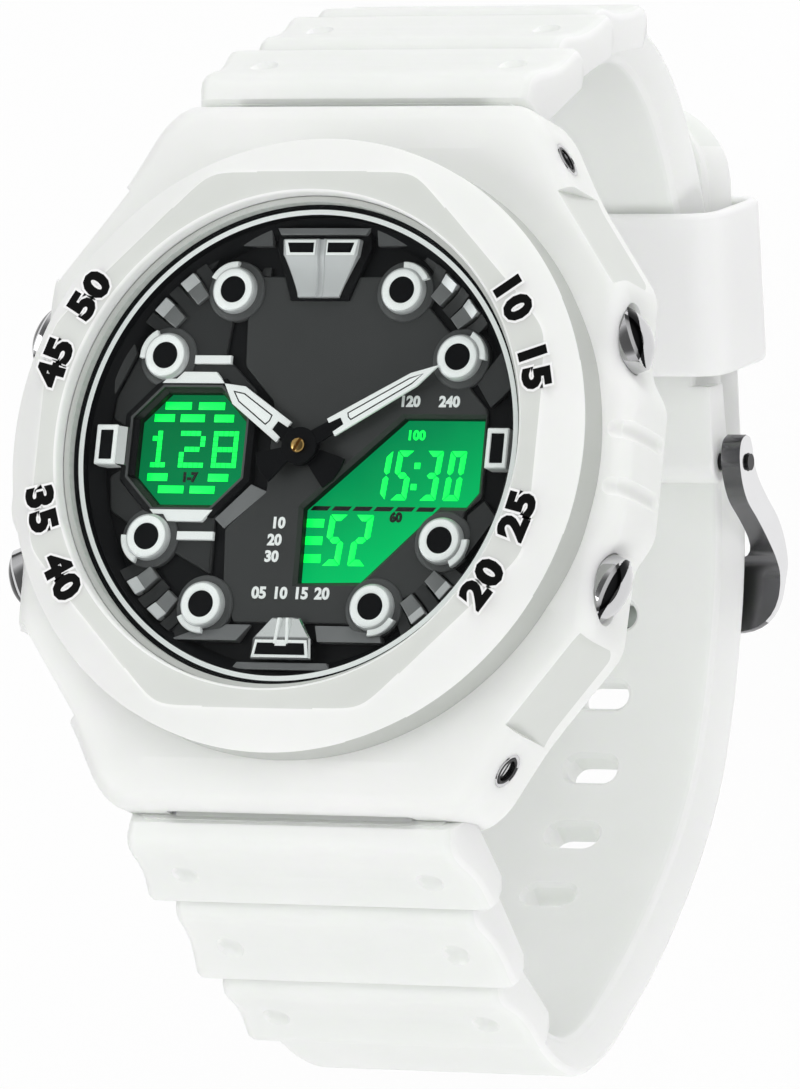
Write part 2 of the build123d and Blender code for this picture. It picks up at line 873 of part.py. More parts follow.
cannon_pitch = gear_spacing * tooth_count["cannon"] / (tooth_count["cannon"] + tooth_count["motion"])
hour_pitch = gear_spacing * tooth_count["hour"] / (tooth_count["hour"] + tooth_count["pinion"])
hour_gear_bottom = gear_bottom + gear_thickness + gear_gap
with BuildPart() as cannon_pinion:
    with BuildSketch(Plane.XY.offset(gear_bottom)):
        with BuildLine():
            Polyline(*gear_points(tooth_count["cannon"], cannon_pitch), close=True)
        make_face()
    extrude(amount=gear_thickness)
    with BuildSketch(Plane.XY.offset(gear_bottom)):
        Circle(cannon_radius)
    extrude(amount=cannon_top - gear_bottom)
    with BuildSketch(Plane.XY.offset(gear_bottom)):
        Circle(post_radius + running_fit)
    extrude(amount=pipe_top - gear_bottom, mode=Mode.SUBTRACT)
    with BuildSketch(Plane.XY.offset(cannon_top)):
        Rectangle(2 * cannon_radius, screw_slot_width / 2, rotation=minute_hand_angle)
    extrude(amount=-hand_thickness / 2, mode=Mode.SUBTRACT)
save(cannon_pinion, "cannon_pinion")

pipe_inner = cannon_radius + running_fit
pipe_outer = pipe_inner + pipe_wall
with BuildPart() as hour_wheel:
    with BuildSketch(Plane.XY.offset(hour_gear_bottom)):
        with BuildLine():
            Polyline(*gear_points(tooth_count["hour"], hour_pitch), close=True)
        make_face()
    extrude(amount=gear_thickness)
    with BuildSketch(Plane.XY.offset(hour_gear_bottom)):
        Circle(pipe_outer)
    extrude(amount=pipe_top - hour_gear_bottom)
    with BuildSketch(Plane.XY.offset(hour_gear_bottom)):
        Circle(pipe_inner)
    extrude(amount=pipe_top - hour_gear_bottom, mode=Mode.SUBTRACT)
save(hour_wheel, "hour_wheel")

# A gap of each follower faces a tooth of its partner across the centre line.
half_tooth = 0.5
motion_pitch = gear_spacing - cannon_pitch
pinion_pitch = gear_spacing - hour_pitch
stud_radius = post_radius
with BuildPart() as motion_wheel:
    with BuildSketch(Plane.XY.offset(gear_bottom)):
        with BuildLine():
            Polyline(*gear_points(tooth_count["motion"], motion_pitch, gear_spacing, half_tooth), close=True)
        make_face()
    extrude(amount=gear_thickness)
    with BuildSketch(Plane.XY.offset(gear_bottom + gear_thickness)):
        with BuildLine():
            Polyline(*gear_points(tooth_count["pinion"], pinion_pitch, gear_spacing, half_tooth), close=True)
        make_face()
    extrude(amount=gear_thickness + gear_gap)
    with BuildSketch(Plane.XY.offset(gear_bottom)):
        with Locations((gear_spacing, 0)):
            Circle(stud_radius + running_fit)
    extrude(amount=2 * gear_thickness + gear_gap, mode=Mode.SUBTRACT)
save(motion_wheel, "motion_wheel")


def hand_points(length, tail, width):
    """The outline of a pointed hand along X, with a narrow neck and a short tail."""
    neck = width * hand_neck_share
    upper = [
        (-tail, neck),
        (hub_radius, neck),
        (length * hand_neck_share, width / 2),
        (length - width / 2, width / 2),
        (length, 0),
    ]
    return upper + [(x, -y) for x, y in reversed(upper[:-1])]


def hand_plane(bottom, clock_angle):
    """A plane whose X axis points where the hand points."""
    way = (sin(radians(clock_angle)), cos(radians(clock_angle)), 0)
    return Plane(origin=(0, 0, bottom), x_dir=way, z_dir=(0, 0, 1))


with BuildPart() as minute_hand:
    with BuildSketch(hand_plane(minute_bottom, minute_hand_angle)):
        with BuildLine():
            Polyline(*hand_points(minute_length, minute_tail, minute_width), close=True)
        make_face()
        Circle(hub_radius)
        Circle(cannon_radius, mode=Mode.SUBTRACT)
    extrude(amount=hand_thickness)
save(minute_hand, "minute_hand")

with BuildPart() as hour_hand:
    with BuildSketch(hand_plane(hour_bottom, hour_hand_angle)):
        with BuildLine():
            Polyline(*hand_points(hour_length, hour_tail, hour_width), close=True)
        make_face()
        Circle(hub_radius)
        Circle(pipe_outer, mode=Mode.SUBTRACT)
    extrude(amount=hand_thickness)
save(hour_hand, "hour_hand")

# Module: plates, cell, coil, crystal can and the ring that centres them.
with BuildPart() as main_plate:
    with BuildSketch(Plane.XY.offset(plate_bottom)):
        Circle(plate_radius)
        strip_room = 2 * (plate_radius - strip_y + strip_width / 2 + running_fit)
        with Locations((0, plate_radius), (0, -plate_radius)):
            Rectangle(strip_length + frame_width, strip_room, mode=Mode.SUBTRACT)
    extrude(amount=plate_thickness)
    with BuildSketch(Plane.XY.offset(plate_bottom + plate_thickness)):
        Circle(post_radius)
    extrude(amount=pipe_top - plate_bottom - plate_thickness - running_fit)
    with BuildSketch(Plane.XY.offset(plate_bottom + plate_thickness)):
        with Locations((gear_spacing, 0)):
            Circle(stud_radius)
    extrude(amount=light_bottom - plate_bottom - plate_thickness)
    with BuildSketch(Plane.XY.offset(plate_bottom + plate_thickness)):
        Circle(light_radius)
        Circle(light_radius - spacer_wall, mode=Mode.SUBTRACT)
    extrude(amount=light_bottom - plate_bottom - plate_thickness)
save(main_plate, "main_plate")

with BuildPart() as circuit_board:
    with BuildSketch(Plane.XY.offset(board_bottom)):
        Circle(board_radius)
    extrude(amount=board_thickness)
    board_top = board_bottom + board_thickness
    with BuildSketch(Plane.XY.offset(board_top)):
        with PolarLocations(board_radius - screw_head_radius, 6):
            Circle(screw_head_radius / 2)
    extrude(amount=plate_bottom - board_top)
save(circuit_board, "circuit_board")

with BuildPart() as battery:
    with BuildSketch(Plane.XY.offset(battery_bottom)):
        with Locations((battery_x, 0)):
            Circle(battery_radius * battery_lid_share)
    extrude(amount=battery_thickness)
    with BuildSketch(Plane.XY.offset(battery_bottom + battery_rim)):
        with Locations((battery_x, 0)):
            Circle(battery_radius)
    extrude(amount=battery_thickness - battery_rim)
save(battery, "battery")

clip_end_x = battery_x + battery_radius + running_fit
with BuildPart() as battery_clip:
    with BuildSketch(Plane.XY.offset(battery_bottom - clip_thickness)):
        with Locations((clip_end_x + clip_leg_thickness - clip_length / 2, 0)):
            Rectangle(clip_length, clip_width)
    extrude(amount=clip_thickness)
    with BuildSketch(Plane.XY.offset(battery_bottom - clip_thickness)):
        with Locations((clip_end_x + clip_leg_thickness / 2, 0)):
            Rectangle(clip_leg_thickness, clip_width)
    extrude(amount=board_bottom - battery_bottom + clip_thickness)
save(battery_clip, "battery_clip")

winding_height = board_bottom - coil_radius - stator_thickness
with BuildPart() as motor_coil:
    with BuildSketch(Plane.XZ.offset(-coil_length / 2)):
        with Locations((coil_x, winding_height)):
            Circle(coil_radius)
            Circle(coil_core_radius, mode=Mode.SUBTRACT)
    extrude(amount=coil_length)
save(motor_coil, "motor_coil")

with BuildPart() as motor_stator:
    with BuildSketch(Plane.XZ.offset(-coil_core_length / 2)):
        with Locations((coil_x, winding_height)):
            Circle(coil_core_radius)
    extrude(amount=coil_core_length)
    with BuildSketch(Plane.XY.offset(board_bottom - stator_thickness)):
        with Locations((coil_x, 0)):
            Rectangle(stator_width, coil_core_length + 2 * coil_core_radius)
    extrude(amount=stator_thickness)
    for side_y in (1, -1):
        with BuildSketch(Plane.XY.offset(winding_height - coil_core_radius)):
            with Locations((coil_x, side_y * coil_core_length / 2)):
                Rectangle(2 * coil_core_radius, 2 * coil_core_radius)
        extrude(amount=board_bottom - winding_height + coil_core_radius)
save(motor_stator, "motor_stator")

with BuildPart() as quartz_can:
    with BuildSketch(Plane.XZ.offset(-can_length / 2)):
        with Locations((can_x, board_bottom - can_radius)):
            Circle(can_radius)
    extrude(amount=can_length)
    chamfer(quartz_can.faces().sort_by(Axis.Y)[0].edges(), length=marker_chamfer)
save(quartz_can, "quartz_can")

with BuildPart() as buzzer:
    with BuildSketch(Plane.XY.offset(back_thickness)):
        with Locations((buzzer_x, 0)):
            Circle(buzzer_radius)
    extrude(amount=buzzer_thickness)
save(buzzer, "buzzer")

with BuildPart() as contact_springs:
    with BuildSketch(Plane.XY.offset(back_thickness + buzzer_thickness)):
        with Locations((contact_x, contact_y * half_tooth), (contact_x, -contact_y * half_tooth)):
            Circle(contact_radius)
    extrude(amount=board_bottom - back_thickness - buzzer_thickness)
save(contact_springs, "contact_springs")

with BuildPart() as connector_strips:
    with BuildSketch(Plane.XY.offset(board_top)):
        with Locations((0, strip_y), (0, -strip_y)):
            Rectangle(strip_length, strip_width)
    extrude(amount=lcd_bottom - board_top)
save(connector_strips, "connector_strips")

with BuildPart() as module_spacer:
    with BuildSketch(Plane.XY.offset(back_thickness)):
        Circle(cavity_radius)
        Circle(cavity_radius - spacer_wall, mode=Mode.SUBTRACT)
    extrude(amount=dial_seat_height - back_thickness)
    for side_x, side_y in corners:
        with BuildSketch(pusher_plane(side_x, side_y, lug_root - spacer_wall)):
            Circle(spacer_notch / 2)
        extrude(amount=cavity_radius - lug_root + 2 * spacer_wall, mode=Mode.SUBTRACT)
save(module_spacer, "module_spacer")

# Case back with its screws, gasket and buzzer.
with BuildPart() as case_back:
    with BuildSketch(Plane.XY):
        Circle(back_radius)
    extrude(amount=back_thickness)
    chamfer(case_back.faces().sort_by(Axis.Z)[0].edges(), length=back_chamfer)
    with BuildSketch(Plane.XY):
        with PolarLocations(back_screw_radius, 4, start_angle=45):
            Circle(screw_head_radius + running_fit)
    extrude(amount=screw_head_height, mode=Mode.SUBTRACT)
    with BuildSketch(Plane.XY):
        with PolarLocations(back_screw_radius, 4, start_angle=45):
            Circle(screw_shank_radius)
    extrude(amount=back_thickness, mode=Mode.SUBTRACT)
    with BuildSketch(Plane.XY):
        Circle(cavity_radius)
        Circle(cavity_radius - spacer_wall / 2, mode=Mode.SUBTRACT)
    extrude(amount=back_chamfer / 2, mode=Mode.SUBTRACT)
save(case_back, "case_back")

with BuildPart() as case_back_gasket:
    with BuildSketch(Plane.XY.offset(back_thickness)):
        Circle(gasket_outer)
        Circle(gasket_inner, mode=Mode.SUBTRACT)
    extrude(amount=gasket_section)
save(case_back_gasket, "case_back_gasket")

with BuildPart() as case_back_screws:
    with BuildSketch(Plane.XY.offset(running_fit)):
        with PolarLocations(back_screw_radius, 4, start_angle=45):
            Circle(screw_head_radius)
    extrude(amount=screw_head_height - running_fit)
    with BuildSketch(Plane.XY.offset(screw_head_height)):
        with PolarLocations(back_screw_radius, 4, start_angle=45):
            Circle(screw_shank_radius)
    extrude(amount=back_screw_length)
    with BuildSketch(Plane.XY):
        with PolarLocations(back_screw_radius, 4, start_angle=45):
            Rectangle(screw_head_radius, screw_slot_width)
            Rectangle(screw_slot_width, screw_head_radius)
    extrude(amount=screw_slot_depth, mode=Mode.SUBTRACT)
save(case_back_screws, "case_back_screws")

with BuildPart() as bezel_screws:
    for side_x, side_y in corners:
        head_inside = side_screw_head_sink + screw_head_height
        with BuildSketch(screw_plane(side_x, side_y, head_inside)):
            Circle(screw_head_radius)
        extrude(amount=screw_head_height)
        with BuildSketch(screw_plane(side_x, side_y, side_screw_length)):
            Circle(screw_shank_radius)
        extrude(amount=side_screw_length - head_inside)
        with BuildSketch(screw_plane(side_x, side_y, side_screw_head_sink)):
            Rectangle(screw_slot_width, 2 * screw_head_radius)
        extrude(amount=-screw_slot_depth, mode=Mode.SUBTRACT)
save(bezel_screws, "bezel_screws")

# Pushers: cap and shaft, return coil, seal, retaining clip and tube.
pusher_names = {(1, 1): "2h", (1, -1): "4h", (-1, -1): "8h", (-1, 1): "10h"}
shaft_inner = clip_seat - clip_plate - clip_margin
with BuildPart() as pusher_tubes:
    for side_x, side_y in corners:
        with BuildSketch(pusher_plane(side_x, side_y, pusher_tube_inner)):
            Circle(tube_radius)
            Circle(pusher_shaft_radius + running_fit, mode=Mode.SUBTRACT)
        extrude(amount=pusher_tube_outer - pusher_tube_inner)
        seal_room = pusher_tube_outer - 3 * ring_section
        with BuildSketch(pusher_plane(side_x, side_y, seal_room)):
            Circle(pusher_shaft_radius + running_fit + ring_section)
        extrude(amount=2 * ring_section, mode=Mode.SUBTRACT)
save(pusher_tubes, "pusher_tubes")

# One return coil at the origin, put behind each pusher cap below.
spring_seat = spring_wire / 2 + running_fit / 2
coil_height = pusher_cap_seat - pusher_tube_outer - 2 * spring_seat
with BuildPart() as return_coil:
    with BuildLine():
        coil_line = Helix(pitch=coil_height / spring_turns, height=coil_height, radius=spring_coil_radius)
    with BuildSketch(Plane(origin=coil_line @ 0, z_dir=coil_line % 0)):
        Circle(spring_wire / 2)
    sweep(path=coil_line, is_frenet=True)

for side_x, side_y in corners:
    where = pusher_names[(side_x, side_y)]
    with BuildPart() as pusher:
        with BuildSketch(pusher_plane(side_x, side_y, shaft_inner)):
            Circle(pusher_shaft_radius)
        extrude(amount=pusher_cap_seat - shaft_inner)
        with BuildSketch(pusher_plane(side_x, side_y, pusher_cap_seat)):
            SlotOverall(pusher_cap_length, pusher_cap_height, rotation=90)
        extrude(amount=pusher_cap_rim - pusher_cap_seat)
        with BuildSketch(pusher_plane(side_x, side_y, pusher_cap_rim)):
            SlotOverall(pusher_cap_length, pusher_cap_height, rotation=90)
        with BuildSketch(pusher_plane(side_x, side_y, pusher_cap_top)):
            SlotOverall(
                pusher_cap_length - pusher_cap_height * half_tooth,
                pusher_cap_height * hand_neck_share,
                rotation=90,
            )
        loft()
        with BuildSketch(pusher_plane(side_x, side_y, clip_seat - clip_plate)):
            Circle(pusher_shaft_radius)
            Circle(pusher_shaft_radius - ring_section, mode=Mode.SUBTRACT)
        extrude(amount=clip_plate, mode=Mode.SUBTRACT)
    save(pusher, "pusher_" + where)

    with BuildPart() as pusher_clip:
        with BuildSketch(pusher_plane(side_x, side_y, clip_seat - clip_plate)):
            Circle(clip_radius)
            Circle(pusher_shaft_radius - ring_section, mode=Mode.SUBTRACT)
            with Locations((0, clip_radius)):
                Rectangle(pusher_shaft_radius, 2 * clip_radius, mode=Mode.SUBTRACT)
        extrude(amount=clip_plate)
    save(pusher_clip, "pusher_clip_" + where)

    with BuildPart() as pusher_spring:
        with Locations(pusher_plane(side_x, side_y, pusher_tube_outer + spring_seat).location):
            add(return_coil.part)
    save(pusher_spring, "pusher_spring_" + where)

    with BuildPart() as pusher_seal:
        with BuildSketch(pusher_plane(side_x, side_y, seal_room)):
            Circle(pusher_shaft_radius + running_fit + ring_section)
            Circle(pusher_shaft_radius + running_fit / 2, mode=Mode.SUBTRACT)
        extrude(amount=2 * ring_section)
    save(pusher_seal, "pusher_seal_" + where)

# Spring bars between the lugs.
for side_y, where in ((1, "12"), (-1, "6")):
    with BuildPart() as spring_bar:
        with BuildSketch(Plane.YZ.offset(-(lug_half_spacing - bar_end_gap))):
            with Locations((side_y * bar_y, bar_z)):
                Circle(bar_radius)
        extrude(amount=2 * (lug_half_spacing - bar_end_gap))
        with BuildSketch(Plane.YZ.offset(-(lug_half_spacing + bar_pin_length))):
            with Locations((side_y * bar_y, bar_z)):
                Circle(bar_pin_radius)
        extrude(amount=2 * (lug_half_spacing + bar_pin_length))
    save(spring_bar, "spring_bar_" + where)

# Strap halves: side profile, cut to the taper, with overlapping scales.
taper_right = [
    (strap_half_root, ring_top),
    (strap_half_root, strap_root_level),
    (strap_half_middle, strap_middle_level),
    (strap_half_end, strap_end_level),
    (strap_half_end, -2 * loop_drop),
]
taper = taper_right + [(-x, z) for x, z in reversed(taper_right)]
prong_slot_y = pin_y + prong_reach * prong_slot_share


def scale_points(row, number, hand):
    """The side outline of one scale, standing proud at its far end."""
    first, way_first = along(row, scale_ends[number])
    middle, way_middle = along(row, (scale_ends[number] + scale_ends[number + 1]) / 2)
    last, way_last = along(row, scale_ends[number + 1])
    out_first = outward(way_first, hand)
    out_middle = outward(way_middle, hand)
    out_last = outward(way_last, hand)
    return [
        shifted(first, out_first, scale_start_rise),
        shifted(middle, out_middle, (scale_start_rise + scale_end_rise) / 2),
        shifted(last, out_last, scale_end_rise),
        shifted(last, out_last, -scale_sink),
        shifted(middle, out_middle, -scale_sink),
        shifted(first, out_first, -scale_sink),
    ]


def slot_plane(row, number):
    """A plane square to the strap at one adjusting slot."""
    walked = 0.0
    prong_at = 0.0
    for start, end in zip(row, row[1:]):
        run = hypot(end[0] - start[0], end[1] - start[1])
        if start[0] <= prong_slot_y < end[0] and start[1] < strap_end_level:
            prong_at = walked + run * (prong_slot_y - start[0]) / (end[0] - start[0])
        walked += run
    place, way = along(row, prong_at + number * slot_pitch)
    off = outward(way, -1)
    return Plane(origin=(0, place[0], place[1]), x_dir=(1, 0, 0), z_dir=(0, off[0], off[1]))


for hand, where, shares in ((1, "12", twelve_half_shares), (-1, "6", six_half_shares)):
    outer = [(y * loop_reach, z * loop_drop) for y, z, depth in shares]
    depths = [depth * strap_thickness for y, z, depth in shares]
    inner = inner_face(outer, depths, hand)
    start = (hand * strap_start_y, strap_start_z)
    barrel = (hand * bar_y, bar_z)
    row = [start] + outer
    with BuildPart() as strap:
        with BuildSketch(Plane.YZ):
            with BuildLine():
                Line((barrel[0], barrel[1] + barrel_radius), start)
                Spline(start, *outer)
                Line(outer[-1], inner[-1])
                Spline(*reversed(inner), (barrel[0], barrel[1] - barrel_radius))
                Line((barrel[0], barrel[1] - barrel_radius), (barrel[0], barrel[1] + barrel_radius))
            make_face()
            with Locations(barrel):
                Circle(barrel_radius)
        extrude(amount=strap_half_root, both=True)
        if where == "12":
            # The end runs on to an eye round the buckle pin.
            end_out = outward(unit((pin_y, pin_z), outer[-1]), -1)
            with BuildSketch(Plane.YZ):
                with Locations((pin_y, pin_z)):
                    Circle(pin_barrel_radius)
                with BuildLine():
                    Polyline(
                        shifted((pin_y, pin_z), end_out, pin_barrel_radius),
                        outer[-1],
                        inner[-1],
                        shifted((pin_y, pin_z), end_out, -pin_barrel_radius),
                        close=True,
                    )
                make_face()
            extrude(amount=strap_half_end, both=True)
        with BuildSketch(Plane.XZ):
            with BuildLine():
                Polyline(*taper, close=True)
            make_face()
        extrude(amount=2 * loop_reach, both=True, mode=Mode.INTERSECT)
        if where == "6":
            # The free end is rounded.
            tip_y = outer[-1][0]
            with BuildSketch(Plane.XY.offset(-2 * loop_drop)):
                with Locations((0, tip_y)):
                    Rectangle(3 * strap_half_end, 2 * strap_tip_radius)
                with Locations((0, tip_y - strap_half_end)):
                    Circle(strap_half_end, mode=Mode.SUBTRACT)
                with Locations((0, tip_y - strap_half_end)):
                    Rectangle(
                        3 * strap_half_end,
                        2 * strap_half_end,
                        align=(Align.CENTER, Align.MAX),
                        mode=Mode.SUBTRACT,
                    )
            extrude(amount=2 * loop_drop + strap_middle_level, mode=Mode.SUBTRACT)
        for number, half_width in enumerate(scale_half_widths):
            with BuildSketch(Plane.YZ):
                with BuildLine():
                    Polyline(*scale_points(row, number, hand), close=True)
                make_face()
            extrude(amount=half_width, both=True)
        # Only the narrow tongue reaches under the hood of the case.
        for side_x in (1, -1):
            with BuildSketch(Plane.XY.offset(-strap_thickness)):
                with Locations((side_x * (tongue_half_width + lug_root / 2), hand * strap_start_y / 2)):
                    Rectangle(lug_root, strap_start_y)
            extrude(amount=2 * strap_thickness + ring_top, mode=Mode.SUBTRACT)
        with BuildSketch(Plane.YZ.offset(-lug_root)):
            with Locations(barrel):
                Circle(bar_radius + running_fit)
        extrude(amount=2 * lug_root, mode=Mode.SUBTRACT)
        if where == "12":
            with BuildSketch(Plane.YZ.offset(-strap_half_root)):
                with Locations((pin_y, pin_z)):
                    Circle(buckle_pin_radius + running_fit)
            extrude(amount=2 * strap_half_root, mode=Mode.SUBTRACT)
            with BuildSketch(Plane.XY.offset(pin_z - 2 * pin_barrel_radius)):
                with Locations((0, pin_y)):
                    Rectangle(prong_width + 2 * soft_clearance, 4 * prong_eye_radius)
            extrude(amount=4 * pin_barrel_radius, mode=Mode.SUBTRACT)
        else:
            for number in range(-slots_before_prong, slots_after_prong + 1):
                with BuildSketch(slot_plane(row, number).offset(-slot_depth / 2)):
                    SlotOverall(slot_length, slot_width)
                extrude(amount=slot_depth, mode=Mode.SUBTRACT)
    save(strap, "strap_" + where)

# Buckle pin, frame and prong.
with BuildPart() as buckle_pin:
    with BuildSketch(Plane.YZ.offset(-(buckle_half_width + pin_overhang / 2))):
        with Locations((pin_y, pin_z)):
            Circle(buckle_pin_radius)
    extrude(amount=2 * buckle_half_width + pin_overhang)
save(buckle_pin, "buckle_pin")


def from_pin(shares, scale):
    """Side view points set off from the buckle pin."""
    return [(pin_y + y * scale, pin_z + z * scale) for y, z in shares]


with BuildPart() as buckle_frame:
    with BuildSketch(Plane.YZ):
        with BuildLine():
            Polyline(
                *from_pin(buckle_inner_shares, buckle_half_width),
                *from_pin(buckle_outer_shares, buckle_half_width),
                close=True,
            )
        make_face()
    extrude(amount=buckle_half_width, both=True)
    frame_length = pin_y * 2
    with BuildSketch(Plane.XY.offset(-2 * loop_drop)):
        with BuildLine():
            FilletPolyline(
                (-buckle_half_width, far_bar_outer_y + frame_length),
                (-buckle_half_width, far_bar_outer_y),
                (buckle_half_width, far_bar_outer_y),
                (buckle_half_width, far_bar_outer_y + frame_length),
                radius=buckle_corner_radius,
            )
            Line(
                (buckle_half_width, far_bar_outer_y + frame_length),
                (-buckle_half_width, far_bar_outer_y + frame_length),
            )
        make_face()
    extrude(amount=2 * loop_drop, mode=Mode.INTERSECT)
    with BuildSketch(Plane.XY.offset(-2 * loop_drop)):
        with Locations((0, far_bar_inner_y + frame_length / 2)):
            RectangleRounded(2 * (buckle_half_width - buckle_arm), frame_length, buckle_inner_corner)
    extrude(amount=2 * loop_drop, mode=Mode.SUBTRACT)
    with BuildSketch(Plane.YZ.offset(-2 * buckle_half_width)):
        with Locations((pin_y, pin_z)):
            Circle(buckle_pin_radius + running_fit)
    extrude(amount=4 * buckle_half_width, mode=Mode.SUBTRACT)
save(buckle_frame, "buckle_frame")

prong_line = [(pin_y, pin_z)] + from_pin(prong_shares, prong_reach)
with BuildPart() as buckle_prong:
    with BuildSketch(Plane.YZ):
        with BuildLine() as prong_path:
            FilletPolyline(*prong_line, radius=prong_thickness * half_tooth)
        trace(prong_path.edges(), line_width=prong_thickness)
        with Locations((pin_y, pin_z)):
            Circle(prong_eye_radius)
        with Locations((pin_y, pin_z)):
            Circle(buckle_pin_radius + running_fit, mode=Mode.SUBTRACT)
    extrude(amount=prong_width / 2, both=True)
save(buckle_prong, "buckle_prong")

# Keeper: a soft band round both halves.
keeper_way = unit((0, 0), (loop_reach, keeper_rise_share * loop_drop))
keeper_face = side_plane((keeper_y, keeper_z), keeper_way)
keeper_height = keeper_inner_height + 2 * keeper_wall
with BuildPart() as keeper:
    with BuildSketch(keeper_face):
        RectangleRounded(2 * keeper_half_width, keeper_height, keeper_corner)
        RectangleRounded(
            2 * (keeper_half_width - keeper_wall),
            keeper_inner_height,
            keeper_inner_corner,
            mode=Mode.SUBTRACT,
        )
    extrude(amount=keeper_length / 2, both=True)
save(keeper, "keeper")
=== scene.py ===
"""Looks of a sports watch with hands and two small screens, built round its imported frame.

Sizes are in millimetres and degrees unless a name says otherwise. Z runs out of the dial,
+Y points to 12 o'clock and +X to 3 o'clock, as in the frame.
"""

import logging
from dataclasses import dataclass, field
from enum import Enum
from math import cos, hypot, pi, radians, sin, sqrt

import bmesh
import bpy
from mathutils import Matrix, Vector
from mathutils.geometry import intersect_line_line_2d


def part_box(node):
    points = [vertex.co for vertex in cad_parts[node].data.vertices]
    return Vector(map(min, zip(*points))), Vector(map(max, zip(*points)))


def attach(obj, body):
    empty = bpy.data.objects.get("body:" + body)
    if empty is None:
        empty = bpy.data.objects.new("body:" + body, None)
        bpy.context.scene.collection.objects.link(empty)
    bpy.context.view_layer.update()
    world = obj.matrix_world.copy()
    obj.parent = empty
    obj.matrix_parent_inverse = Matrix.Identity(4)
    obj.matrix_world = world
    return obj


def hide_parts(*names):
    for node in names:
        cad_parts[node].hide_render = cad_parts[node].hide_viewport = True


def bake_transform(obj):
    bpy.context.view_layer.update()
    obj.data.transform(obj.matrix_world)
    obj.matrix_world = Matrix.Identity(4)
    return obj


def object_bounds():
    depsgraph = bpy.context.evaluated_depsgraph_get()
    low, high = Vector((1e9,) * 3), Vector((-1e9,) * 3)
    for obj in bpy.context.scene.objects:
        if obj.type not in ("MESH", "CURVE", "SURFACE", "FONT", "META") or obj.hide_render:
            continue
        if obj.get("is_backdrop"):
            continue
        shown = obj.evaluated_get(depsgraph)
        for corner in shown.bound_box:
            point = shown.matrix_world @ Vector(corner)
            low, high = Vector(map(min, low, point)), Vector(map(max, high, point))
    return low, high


Point2 = tuple[float, float]
Point3 = tuple[float, float, float]
Colour = tuple[float, float, float]

MM = 0.001
FULL_TURN = 360.0
HOUR_ANGLE = 30.0
OVAL_POWER = 0.92
LEVEL = 0.98
STEEP = 0.4
SHARP_ANGLE = 35.0
FINE_SHARP = 24.0
SAME_PLACE = 0.002
THIN_EDGE = 0.0005
SMOOTH_WEIGHT = 80
TEXT_HEIGHT = 0.72
TEXT_FATTEN = 0.7
CAP_TURNS = (0.02, 0.4, 0.8, 1.2, pi / 2)
CORNERS = [(1, 1), (1, -1), (-1, -1), (-1, 1)]
HOURS = ("2h", "4h", "8h", "10h")
PUSHER_ANGLE = 21.5
PUSHER_HEIGHT = 4.8
BUCKLE_PIN = (9.9, -40.0)

log = logging.getLogger("watch")


class Cut(Enum):
    """What one solid does to another."""

    JOIN = "UNION"
    CARVE = "DIFFERENCE"
    MEET = "INTERSECT"


class Grain(Enum):
    """The fine relief of a finish."""

    NONE = "none"
    FINE = "fine"
    BRUSHED = "brushed"


def polar(radius: float, angle: float) -> Point2:
    """A point at a radius and an angle anticlockwise from 3 o'clock."""
    return radius * cos(radians(angle)), radius * sin(radians(angle))


def at_hour(radius: float, hour: float) -> Point2:
    """A point at a radius and an hour of the dial."""
    return polar(radius, 90.0 - hour * HOUR_ANGLE)


def arc(centre: Point2, radius: float, start: float, end: float, steps: int) -> list[Point2]:
    """Points along an arc.

    Args:
        centre: middle of the arc.
        radius: its radius.
        start: first angle.
        end: last angle.
        steps: stretches between the points.

    Returns:
        The points from start to end.
    """
    result = []
    for number in range(steps + 1):
        x, y = polar(radius, start + (end - start) * number / steps)
        result.append((centre[0] + x, centre[1] + y))
    return result


def circle(radius: float, steps: int) -> list[Point2]:
    """Even points round a circle, anticlockwise."""
    return [polar(radius, FULL_TURN * number / steps) for number in range(steps)]


def rounding(radius: float, steps: int) -> list[Point2]:
    """How far a rounded edge is drawn in and how far it has risen, from its start to its end."""
    turns = [pi / 2 * step / steps for step in range(steps + 1)]
    return [(radius * (1 - sin(turn)), radius * (1 - cos(turn))) for turn in turns]


def oval_outline(length: float, width: float, steps: int = 180) -> list[Point2]:
    """An oval a little fuller than an ellipse, long along X and anticlockwise."""
    result = []
    for c, s in circle(1.0, steps):
        x = length / 2 * (abs(c) ** OVAL_POWER) * (1 if c >= 0 else -1)
        y = width / 2 * (abs(s) ** OVAL_POWER) * (1 if s >= 0 else -1)
        result.append((x, y))
    return result


def slot_outline(length: float, width: float, steps: int = 10) -> list[Point2]:
    """A slot with round ends, long along X."""
    reach = length / 2 - width / 2
    return arc((reach, 0), width / 2, -90, 90, steps) + arc((-reach, 0), width / 2, 90, 270, steps)


def box_outline(width: float, height: float, middle: Point2 = (0.0, 0.0)) -> list[Point2]:
    """A rectangle about a middle point."""
    x, y = middle
    signs = ((1, -1), (1, 1), (-1, 1), (-1, -1))
    return [(x + sx * width / 2, y + sy * height / 2) for sx, sy in signs]


def mirrored(half: list[Point2]) -> list[Point2]:
    """An outline from its left half, which is repeated on the right."""
    return half + [(-x, y) for x, y in reversed(half)]


def anticlockwise(outline: list[Point2]) -> list[Point2]:
    """The same outline, going anticlockwise."""
    area = 0.0
    for first, second in zip(outline, outline[1:] + outline[:1]):
        area += first[0] * second[1] - second[0] * first[1]
    return list(outline) if area > 0 else list(reversed(outline))


